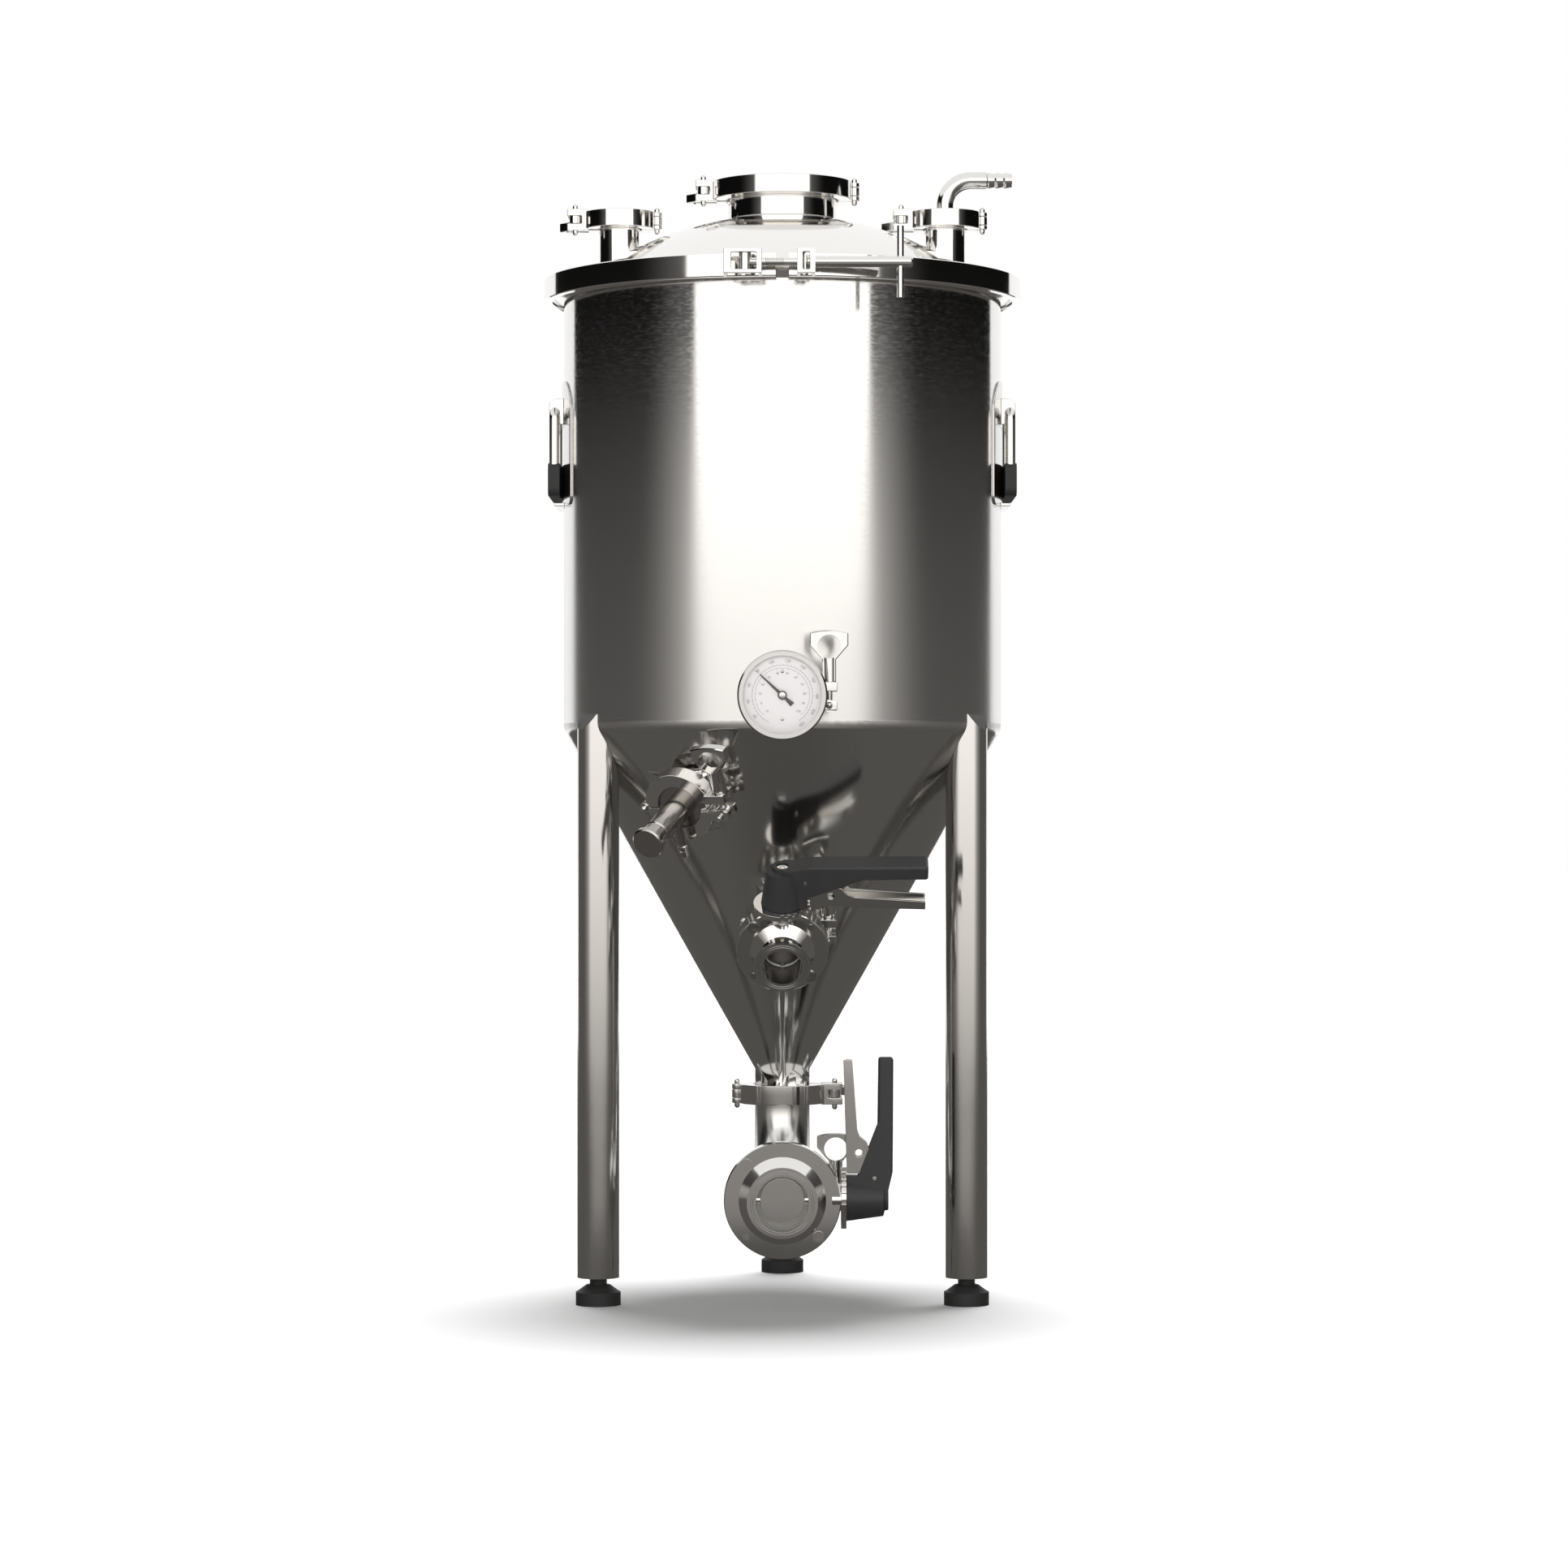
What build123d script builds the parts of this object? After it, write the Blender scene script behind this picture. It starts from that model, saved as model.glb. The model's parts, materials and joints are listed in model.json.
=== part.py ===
from build123d import *
import os
from collections import namedtuple
from math import cos, radians, sin, sqrt, tan

# Conical fermenter on three legs: a cylinder with a cone below it, a domed lid held by a V-band,
# clamped sanitary ports, a racking valve and a dump valve. Millimetres, +Z up, the front faces -Y,
# and the origin is on the floor under the tank's axis.

# ---------------------------------------------------------------- driving dimensions
TANK_R = 204.0                # outside of the cylinder
SHEET = 1.5                   # wall of the tank, lid and tubes
LID_JOINT_Z = 934.2           # plane between the tank's rim and the lid
CONE_ANGLE = 29.5             # half angle of the cone
NECK_Z = 210.0                # where the cone meets its outlet neck
KNUCKLE_R = 22.0              # bend between cylinder and cone
OUTLET_Z = 98.0               # axis of the dump valve above the floor
DOME_R = 311.0                # sphere of the lid
DOME_INSET = 13.0             # the dome's edge inside the cylinder's radius
DOME_FOOT = 5.95              # the dome's edge above the joint plane
LEG_INSET = 10.0              # the legs' axes inside the cylinder's radius
LEG_TUBE_R = 19.05
LEG_BOTTOM_Z = 25.0
FOOT_R = 20.5

RUN = 0.05                    # radial clearance of a shaft that turns in its bore
SEAT_GAP = 0.1                # between faces that seat on one another
FACE_GAP = 0.3                # between a turning face and the face beside it

Joint = namedtuple("Joint", "tube_r ferrule_r ring_r width")


def clamp_joint(tube_r, rim_reach, ring_wall, width):
    """A sanitary joint: how far its rim stands out from the tube, and the clamp's wall beyond the rim."""
    ferrule_r = tube_r + rim_reach
    return Joint(tube_r, ferrule_r, ferrule_r + ring_wall, width)


INCH_AND_HALF = clamp_joint(19.05, 6.2, 7.75, 16.0)
TWO_INCH = clamp_joint(25.4, 6.6, 8.5, 18.0)
FOUR_INCH = clamp_joint(50.8, 8.7, 6.0, 17.0)
GASKET = 1.6                  # thickness of a clamp gasket
FERRULE_RIM = 2.85            # ferrule thickness at its rim
FERRULE_TAPER = 20.0          # slope of the ferrule's back
BOLT_OFFSET = 8.2             # swing bolt's axis beyond the ring
LUG_REACH = 7.3               # lug beyond the swing bolt's axis
LUG_WIDTH = 20.0
LUG_INNER, LUG_OUTER = 4.2, 12.5
CLAMP_PIN_R = 2.5
SWING_BOLT_R = 3.0
WING_HEIGHT, WING_R, WING_THICK = 45.5, 17.0, 8.5
WING_SHAFT_R, WING_EYE_R, WING_EYE_Z = 6.2, 10.5, 31.0
WING_SHAFT_TOP, WING_SIDE = 19.7, (32.2, 43.0)  # shaft's top, and the wing's straight side
WING_BEVEL = 0.8

CENTER_BASE = (Align.CENTER, Align.CENTER, Align.MIN)
TAPER = tan(radians(FERRULE_TAPER))
CONE_TAN = tan(radians(CONE_ANGLE))
CONE_COS = cos(radians(CONE_ANGLE))
CONE_SIN = sin(radians(CONE_ANGLE))
NECK_R = TWO_INCH.tube_r
KNUCKLE_Z = NECK_Z + (TANK_R - NECK_R) / CONE_TAN
SEAM_Z = KNUCKLE_Z + KNUCKLE_R * tan(radians(CONE_ANGLE / 2)) + 0.2
DOME_EDGE_R = TANK_R - DOME_INSET
# Heights that follow from others are kept to a tenth of a millimetre.
DOME_TOP_Z = round(LID_JOINT_Z + DOME_FOOT + DOME_R - sqrt(DOME_R ** 2 - DOME_EDGE_R ** 2), 1)
DOME_CENTRE_Z = DOME_TOP_Z - DOME_R
LEG_CIRCLE_R = TANK_R - LEG_INSET


# ---------------------------------------------------------------- general helpers
def turned(corners, arc=360.0):
    """A solid turned about Z from its (radius, height) corners."""
    return revolve(Plane.XZ * make_face(Polyline(*corners, close=True)), Axis.Z, arc)


def block(x0, x1, y0, y1, z0, z1):
    middle = Pos((x0 + x1) / 2, (y0 + y1) / 2, (z0 + z1) / 2)
    return middle * Box(x1 - x0, y1 - y0, z1 - z0)


def rod(start, end, radius):
    start, end = Vector(start), Vector(end)
    return Plane(start, z_dir=end - start) * Cylinder(radius, (end - start).length, align=CENTER_BASE)


def plate(corners, thickness, plane=Plane.XY):
    """A flat plate centred on a plane, from the corners of its outline."""
    return extrude(plane * make_face(Polyline(*corners, close=True)), thickness / 2, both=True)


def group(*solids):
    """Separate solids that share one node."""
    return Compound(children=[part for solid in solids for part in solid.solids()])


def save(name, shape):
    export_step(Compound(children=list(shape.solids())), f"parts/{name}.step")


def cone_radius(z):
    return NECK_R + (z - NECK_Z) * CONE_TAN


def dome_z(radius, sphere_r=DOME_R):
    return DOME_CENTRE_Z + sqrt(sphere_r ** 2 - radius ** 2)


# ---------------------------------------------------------------- sanitary clamp joints
def ferrule_back(size):
    """Height of a ferrule from its face to where its taper meets the tube."""
    return FERRULE_RIM + (size.ferrule_r - size.tube_r) * TAPER


def ferrule(size, length, face=-GASKET / 2):
    """A tube end that faces +Z, with its face at the given height."""
    inner, back = size.tube_r - SHEET, ferrule_back(size)
    return turned([
        (inner, face), (size.ferrule_r, face), (size.ferrule_r, face - FERRULE_RIM),
        (size.tube_r, face - back), (size.tube_r, face - length), (inner, face - length),
    ])


def end_cap(size):
    """A blank cap with a shallow dish, seated on the gasket from above."""
    low, high = GASKET / 2, GASKET / 2 + ferrule_back(size)
    return turned([
        (0, low), (size.ferrule_r, low), (size.ferrule_r, low + FERRULE_RIM), (size.tube_r, high),
        (size.tube_r * 0.8, high), (size.tube_r * 0.7, high - 1.5), (0, high - 1.5),
    ])


def gasket(size):
    inner, outer, half = size.tube_r - SHEET, size.ferrule_r - 0.4, GASKET / 2
    return turned([(inner, -half), (outer, -half), (outer, half), (inner, half)])


def groove_height(size, radius):
    """Half width of the clamp's groove, which follows the ferrules' tapered backs."""
    return GASKET / 2 + FERRULE_RIM + SEAT_GAP + (size.ferrule_r - radius) * TAPER


def clamp_ring(size):
    half, inner, floor = size.width / 2, size.tube_r + 1.8, size.ferrule_r + 0.6
    return turned([
        (inner, groove_height(size, inner)), (floor, groove_height(size, floor)),
        (floor, -groove_height(size, floor)), (inner, -groove_height(size, inner)),
        (inner, -half), (size.ring_r, -half), (size.ring_r, half), (inner, half),
    ])


def clamp_halves(size):
    """The fork half on +Y and the pivot half on -Y, hinged on the -X side."""
    bolt_x = size.ring_r + BOLT_OFFSET
    lug_end, half = bolt_x + LUG_REACH, LUG_WIDTH / 2
    hinge_x, knuckle_r, split = -(size.ring_r + 1.8), 4.7, 4.0
    far = size.ring_r + 30
    ring = clamp_ring(size)
    middle = rod((hinge_x, 0, -split), (hinge_x, 0, split), knuckle_r)
    outer = rod((hinge_x, 0, -size.width / 2), (hinge_x, 0, size.width / 2), knuckle_r)
    outer -= rod((hinge_x, 0, -split - SEAT_GAP), (hinge_x, 0, split + SEAT_GAP), knuckle_r + 1)
    keep_out_middle = rod((hinge_x, 0, -split - SEAT_GAP), (hinge_x, 0, split + SEAT_GAP), knuckle_r + 0.3)
    keep_out_outer = rod((hinge_x, 0, -half), (hinge_x, 0, half), knuckle_r + 0.3)
    keep_out_outer -= rod((hinge_x, 0, -split), (hinge_x, 0, split), knuckle_r + 1)

    fork = ring & block(-far, far, 0.4, far, -half, half)
    fork -= block(0, far, 0, LUG_INNER, -half, half)
    fork += block(size.ring_r - 4, lug_end, LUG_INNER, LUG_OUTER, -half, half)
    slot = SWING_BOLT_R + 0.6
    fork -= block(bolt_x, lug_end + 1, 0, LUG_OUTER + 1, -slot, slot)
    fork -= rod((bolt_x, 0, 0), (bolt_x, LUG_OUTER + 1, 0), slot)
    fork = fork - keep_out_outer + middle

    pivot_y = -(LUG_INNER + LUG_OUTER) / 2
    pivot = ring & block(-far, far, -far, -0.4, -half, half)
    pivot -= block(0, far, -LUG_INNER, 0, -half, half)
    pivot += block(size.ring_r - 4, lug_end, -LUG_OUTER, -LUG_INNER, -half, half)
    pivot -= block(bolt_x - 6.2, lug_end + 1, -LUG_OUTER - 1, 0, -slot, slot)
    pivot = pivot - keep_out_middle + outer

    hinge_bore = rod((hinge_x, 0, -half), (hinge_x, 0, half), CLAMP_PIN_R + RUN)
    pivot_bore = rod((bolt_x, pivot_y, -half), (bolt_x, pivot_y, half), CLAMP_PIN_R + RUN)
    return [fork - hinge_bore, pivot - hinge_bore - pivot_bore]


def clamp_hardware(size):
    """The swing bolt, its pivot pin and the hinge pin."""
    bolt_x = size.ring_r + BOLT_OFFSET
    pivot_y = -(LUG_INNER + LUG_OUTER) / 2
    bolt = rod((bolt_x, pivot_y, -3.3), (bolt_x, pivot_y, 3.3), 5.4)
    bolt += rod((bolt_x, pivot_y + 4, 0), (bolt_x, LUG_OUTER + 14, 0), SWING_BOLT_R)
    bolt -= rod((bolt_x, pivot_y, -4), (bolt_x, pivot_y, 4), CLAMP_PIN_R + RUN)
    pivot_pin = upright_pin((bolt_x, pivot_y), LUG_WIDTH / 2 + 2.2)
    hinge_pin = upright_pin((-(size.ring_r + 1.8), 0), size.width / 2 + 2.2)
    return [bolt, pivot_pin, hinge_pin]


def upright_pin(centre, half_length):
    return rod((*centre, -half_length), (*centre, half_length), CLAMP_PIN_R)


def wing_nut():
    """An eye nut along +Z: round shaft below, arched wing with its eye above."""
    side = [(WING_SHAFT_R, 0), (WING_SHAFT_R, WING_SHAFT_TOP), (WING_R, WING_SIDE[0]), (WING_R, WING_SIDE[1])]
    crown = ThreePointArc((WING_R, WING_SIDE[1]), (0, WING_HEIGHT), (-WING_R, WING_SIDE[1]))
    right = Polyline(*side)
    left = Polyline(*[(-x, z) for x, z in reversed(side)])
    base = Line((-WING_SHAFT_R, 0), (WING_SHAFT_R, 0))
    wing = extrude(Plane.XZ * make_face([right, crown, left, base]), WING_THICK / 2, both=True)
    front, back = wing.faces().sort_by(Axis.Y)[0], wing.faces().sort_by(Axis.Y)[-1]
    wing = chamfer(front.edges() + back.edges(), WING_BEVEL)
    nut = wing + Cylinder(WING_SHAFT_R, WING_EYE_Z, align=CENTER_BASE)
    nut -= rod((0, -WING_THICK, WING_EYE_Z), (0, WING_THICK, WING_EYE_Z), WING_EYE_R)
    return nut - Cylinder(SWING_BOLT_R + RUN, 15.5, align=CENTER_BASE)


# ---------------------------------------------------------------- where the eight joints are
def slope_frame(azimuth):
    """Outward normal, up-slope and rightward directions of the cone at an azimuth from the front."""
    radial = Vector(sin(radians(azimuth)), -cos(radians(azimuth)), 0)
    normal = radial * CONE_COS - Vector(0, 0, CONE_SIN)
    upward = radial * CONE_SIN + Vector(0, 0, CONE_COS)
    rightward = Vector(cos(radians(azimuth)), sin(radians(azimuth)), 0)
    return normal, upward, rightward


def cone_point(azimuth, z):
    radius = cone_radius(z)
    return Vector(radius * sin(radians(azimuth)), -radius * cos(radians(azimuth)), z)


LID_PORT_X = TANK_R - 52.0
LID_CLAMP_X = LID_PORT_X - INCH_AND_HALF.ring_r - BOLT_OFFSET - LUG_REACH
LID_PORT_Z = round(dome_z(LID_CLAMP_X) + LUG_WIDTH / 2 + 4.0, 1)
LID_NECK_Z = DOME_TOP_Z + 23.5
THERMOMETER_Z = round(SEAM_Z + INCH_AND_HALF.tube_r + 0.9, 1)
WALL_PORT = 22.0              # tank wall to joint plane at the thermometer and sample ports
RACKING_PORT = 26.5           # the same at the racking port
SAMPLE_AZIMUTH, SAMPLE_Z = -28.0, 468.0
RACKING_Z = 359.0
ELBOW_REACH = 88.9            # elbow's corner to either face
ELBOW_BEND_R = 76.2

SAMPLE_NORMAL, SAMPLE_UP, SAMPLE_RIGHT = slope_frame(SAMPLE_AZIMUTH)
SAMPLE_JOINT = cone_point(SAMPLE_AZIMUTH, SAMPLE_Z) + SAMPLE_NORMAL * WALL_PORT
RACKING_NORMAL, RACKING_UP, RACKING_RIGHT = slope_frame(0)
RACKING_JOINT = cone_point(0, RACKING_Z) + RACKING_NORMAL * RACKING_PORT
OUTLET_JOINT_Z = OUTLET_Z + ELBOW_REACH

X, Y, Z = Vector(1, 0, 0), Vector(0, 1, 0), Vector(0, 0, 1)
Clamp = namedtuple("Clamp", "name size centre bolt_side wing_way")
CLAMPS = [
    Clamp("lid_left", INCH_AND_HALF, Vector(-LID_PORT_X, 0, LID_PORT_Z), -X, Y),
    Clamp("lid_right", INCH_AND_HALF, Vector(LID_PORT_X, 0, LID_PORT_Z), -X, Y),
    Clamp("lid_centre", FOUR_INCH, Vector(0, 0, LID_NECK_Z), -X, Y),
    Clamp("thermometer", INCH_AND_HALF, Vector(0, -TANK_R - WALL_PORT, THERMOMETER_Z), X, Z),
    Clamp("sample", INCH_AND_HALF, SAMPLE_JOINT, SAMPLE_RIGHT, SAMPLE_UP),
    Clamp("racking", INCH_AND_HALF, RACKING_JOINT, RACKING_RIGHT, RACKING_UP),
    Clamp("bottom", TWO_INCH, Vector(0, 0, OUTLET_JOINT_Z), X, Y),
    Clamp("outlet", TWO_INCH, Vector(0, -ELBOW_REACH, OUTLET_Z), X, Z),
]
CLAMP_NODES = {
    "clamps_lid_ports": ("lid_left", "lid_right"),
    "clamp_lid_centre": ("lid_centre",),
    "clamps_wall_ports": ("thermometer", "sample", "racking"),
    "clamps_outlet": ("bottom", "outlet"),
}


def clamp_plane(clamp):
    return Plane(clamp.centre, x_dir=clamp.bolt_side, z_dir=clamp.bolt_side.cross(clamp.wing_way))


def nut_plane(clamp):
    seat = clamp.centre + clamp.bolt_side * (clamp.size.ring_r + BOLT_OFFSET)
    seat += clamp.wing_way * (LUG_OUTER + FACE_GAP)
    return Plane(seat, x_dir=clamp.bolt_side, z_dir=clamp.wing_way)


def make_clamps():
    by_name = {clamp.name: clamp for clamp in CLAMPS}
    for node, names in CLAMP_NODES.items():
        halves = [clamp_plane(by_name[n]) * half for n in names for half in clamp_halves(by_name[n].size)]
        save(node, group(*halves))
    hardware = [clamp_plane(c) * piece for c in CLAMPS for piece in clamp_hardware(c.size)]
    save("clamp_bolts_and_pins", group(*hardware))
    save("clamp_gaskets", group(*[clamp_plane(c) * gasket(c.size) for c in CLAMPS]))
    nut = wing_nut()
    for clamp in CLAMPS:
        save(f"wing_nut_{clamp.name}", nut_plane(clamp) * nut)


# ---------------------------------------------------------------- tank and ports
RIM_R = TANK_R + 13.0         # flange that the V-band grips
RIM_EDGE = 4.7                # half of the gripped edge, joint plane to flange back at RIM_R
BAND_ANGLE = 22.0
BAND_TAN = tan(radians(BAND_ANGLE))
LID_GASKET = 2.0
TANK_RIM_FACE = LID_JOINT_Z - LID_GASKET / 2
LID_RIM_FACE = LID_JOINT_Z + LID_GASKET / 2


def rim_back(radius):
    """Distance from the joint plane to the back of either rim flange."""
    return RIM_EDGE + (RIM_R - radius) * BAND_TAN


def tank_envelope(offset=0.0, top=LID_JOINT_Z):
    """Everything inside the tank's outer surface, grown by an offset."""
    radius, neck = TANK_R + offset, NECK_R + offset
    shift = offset / CONE_COS
    corner_z = NECK_Z + (radius - shift - NECK_R) / CONE_TAN
    neck_z = NECK_Z + (neck - shift - NECK_R) / CONE_TAN
    outline = Plane.XZ * make_face(Polyline(
        (0, OUTLET_JOINT_Z), (neck, OUTLET_JOINT_Z), (neck, neck_z), (radius, corner_z),
        (radius, top), (0, top), close=True))
    corner = outline.vertices().sort_by_distance((radius, 0, corner_z))[0]
    return revolve(fillet(corner, KNUCKLE_R + offset), Axis.Z)


def make_tank():
    shell = tank_envelope(top=SEAM_Z) - tank_envelope(-SHEET, top=SEAM_Z + 1)
    shell -= Pos(0, 0, OUTLET_JOINT_Z - 1) * Cylinder(NECK_R - SHEET, 15, align=CENTER_BASE)
    inside = tank_envelope(-SHEET / 2)
    cone = shell + port(Plane(Vector(0, 0, OUTLET_JOINT_Z), z_dir=-Z), TWO_INCH, 14)
    cone -= block(-40, 40, -40, 40, OUTLET_JOINT_Z - 1, OUTLET_JOINT_Z + GASKET / 2)
    for joint, normal, length in (
            (RACKING_JOINT, RACKING_NORMAL, RACKING_PORT + 20),
            (SAMPLE_JOINT, SAMPLE_NORMAL, WALL_PORT + 20)):
        frame = Plane(joint, z_dir=normal)
        cone += port(frame, INCH_AND_HALF, length) - inside
        cone -= port_bore(frame, length + 15)
    save("tank_cone", cone)

    inner = TANK_R - SHEET
    cylinder = turned([
        (inner, SEAM_Z), (TANK_R, SEAM_Z), (TANK_R, LID_JOINT_Z - rim_back(TANK_R)),
        (RIM_R, LID_JOINT_Z - RIM_EDGE), (RIM_R, TANK_RIM_FACE), (inner, TANK_RIM_FACE)])
    frame = Plane(Vector(0, -TANK_R - WALL_PORT, THERMOMETER_Z), z_dir=-Y)
    cylinder += port(frame, INCH_AND_HALF, WALL_PORT + 15) - inside
    cylinder -= port_bore(frame, WALL_PORT + 20)
    save("tank_cylinder", cylinder)


def port(frame, size, length):
    return frame * ferrule(size, length)


def port_bore(frame, depth, size=INCH_AND_HALF):
    return frame * Pos(0, 0, -depth) * Cylinder(size.tube_r - SHEET, depth + 1, align=CENTER_BASE)


# ---------------------------------------------------------------- lid, caps and blow-off tube
BLOW_OFF_R = 7.95
BLOW_OFF_BEND = 24.0
BLOW_OFF_Z = LID_PORT_Z + 38.0
BLOW_OFF_END_X = LID_PORT_X + 62.5
BARB_LENGTH = 24.0


def make_lid():
    ring_inner = DOME_EDGE_R + 5
    shoulder_z = LID_JOINT_Z + rim_back(SHOULDER_R)
    lid = turned([
        (ring_inner, LID_RIM_FACE), (RIM_R, LID_RIM_FACE), (RIM_R, LID_JOINT_Z + RIM_EDGE),
        (SHOULDER_R, shoulder_z), (ring_inner + 4, shoulder_z),
        (DOME_EDGE_R, dome_z(DOME_EDGE_R)), (ring_inner - 4, dome_z(ring_inner - 4, DOME_R - SHEET))])
    dome = Pos(0, 0, DOME_CENTRE_Z) * (Sphere(DOME_R) - Sphere(DOME_R - SHEET))
    reach = ring_inner - 2
    lid += dome & Pos(0, 0, dome_z(reach)) * Cylinder(reach, DOME_R, align=CENTER_BASE)
    inside = Pos(0, 0, DOME_CENTRE_Z) * Sphere(DOME_R - SHEET / 2)
    for clamp in CLAMPS[:3]:
        frame = Plane(clamp.centre, z_dir=Z)
        length = clamp.centre.Z - dome_z(abs(clamp.centre.X) + clamp.size.tube_r) + 8
        lid += port(frame, clamp.size, length) - inside
        lid -= port_bore(frame, length + 8, clamp.size)
    save("lid_shell", lid)
    half = LID_GASKET / 2
    save("lid_gasket", Pos(0, 0, LID_JOINT_Z) * turned([
        (TANK_R, -half), (RIM_R - 1, -half), (RIM_R - 1, half), (TANK_R, half)]))
    save("port_cap_left", Pos(-LID_PORT_X, 0, LID_PORT_Z) * end_cap(INCH_AND_HALF))
    save("port_cap_centre", Pos(0, 0, LID_NECK_Z) * end_cap(FOUR_INCH))
    save("blow_off_tube", blow_off_tube())


def blow_off_tube():
    """A cap with a bent tube welded through it, ending in a hose barb."""
    x, bend, bore = LID_PORT_X, BLOW_OFF_BEND, BLOW_OFF_R - SHEET
    barb_x = BLOW_OFF_END_X - BARB_LENGTH
    base_z, turn_z = LID_PORT_Z + GASKET / 2, BLOW_OFF_Z - bend
    low, high = GASKET / 2, GASKET / 2 + ferrule_back(INCH_AND_HALF)
    rim = INCH_AND_HALF.ferrule_r
    solid = Pos(x, 0, LID_PORT_Z) * turned([
        (0, low), (rim, low), (rim, low + FERRULE_RIM), (INCH_AND_HALF.tube_r, high), (0, high)])
    axis = Axis((x + bend, 0, turn_z), (0, 1, 0))

    def run(radius, end_x):
        bent = revolve(Pos(x, 0, turn_z) * Circle(radius), axis, 90)
        upright = rod((x, 0, base_z), (x, 0, turn_z), radius)
        return upright + bent + rod((x + bend, 0, BLOW_OFF_Z), (end_x, 0, BLOW_OFF_Z), radius)

    solid += run(BLOW_OFF_R, barb_x)
    pitch, root, tip = BARB_LENGTH / 3, 6.3, 7.3
    barbs = [(0, 0), (root, 0)]
    for turn in range(3):
        barbs += [(tip, turn * pitch + 1.2), (tip, turn * pitch + 2.4), (root, (turn + 1) * pitch - 0.4)]
    barbs += [(root, 3 * pitch), (0, 3 * pitch)]
    solid += Plane((barb_x, 0, BLOW_OFF_Z), z_dir=X) * turned(barbs)
    solid -= run(bore, barb_x - 3) + rod((x, 0, base_z - 2), (x, 0, base_z + 2), bore)
    return solid - rod((barb_x - 4, 0, BLOW_OFF_Z), (BLOW_OFF_END_X + 1, 0, BLOW_OFF_Z), bore - 1.2)


# ---------------------------------------------------------------- V-band clamp round the lid
BAND_R = RIM_R + 5.3
BAND_SHEET = 3.0
BAND_HALF = 10.4
BAND_LIP, BAND_GROOVE = 1.5, 1.2
BAND_LIP_R, BAND_VEE_R = RIM_R - 2.4, RIM_R - 4.0
SHOULDER_R = RIM_R - 8.0      # where the lid's rim levels out
BAND_BOLT_Y = -BAND_R - 15.7  # axis of the band's bolt, in front of the band
BAND_BOLT_R = 3.5
BAND_NUT_R = 5.0
BAND_NUT_X = (21.0, 115.0)
T_BAR_X, T_BAR_R, T_BAR_LENGTH = 104.0, 3.1, 63.0
TRUNNION_R = 5.5
BAND_GAP = 6.0                # half of the opening between the band's ends
LEFT_BRACKET_X = (-52.0, -18.0)
RIGHT_BRACKET_X = (13.0, 29.0)
BRACKET_Y = BAND_BOLT_Y - 9.0
BRACKET_WALL = 3.0
TRUNNION_X = (-33.0, 20.7)


def band_section():
    """Flat web with a narrow lip at each edge, and a vee inside that grips the rims' sloping backs."""
    inner_r, lip_z = BAND_R - BAND_SHEET, BAND_HALF - BAND_LIP
    vee_z = lip_z - BAND_GROOVE

    def seat(radius):
        return rim_back(radius) + SEAT_GAP

    vee_r = RIM_R + 0.5
    half = [
        (vee_r, seat(vee_r)), (BAND_VEE_R, seat(BAND_VEE_R)), (BAND_VEE_R, vee_z), (inner_r, vee_z),
        (inner_r, lip_z), (BAND_LIP_R, lip_z), (BAND_LIP_R, BAND_HALF), (BAND_R - 0.8, BAND_HALF),
        (BAND_R, BAND_HALF - 0.8)]
    return half + [(radius, -height) for radius, height in reversed(half)]


def band_bracket(x0, x1, window, rod_slot):
    """A strap welded to the band and looped round an upright trunnion."""
    wall, half = BRACKET_WALL, 11.0
    back_y = 40.0 - BAND_R
    loop = block(x0, x1, BRACKET_Y, back_y, -half, half)
    loop -= block(x0 + wall, x1 - wall, BRACKET_Y + wall, back_y, -half - 1, half + 1)
    loop -= Cylinder(BAND_R + SEAT_GAP / 2, 60)
    loop -= block(window[0], window[1], BRACKET_Y - 1, BRACKET_Y + wall + 1, -7.5, 7.5)
    low, high, radius = rod_slot
    return loop - rod((low, BAND_BOLT_Y, 0), (high, BAND_BOLT_Y, 0), radius)


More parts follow.
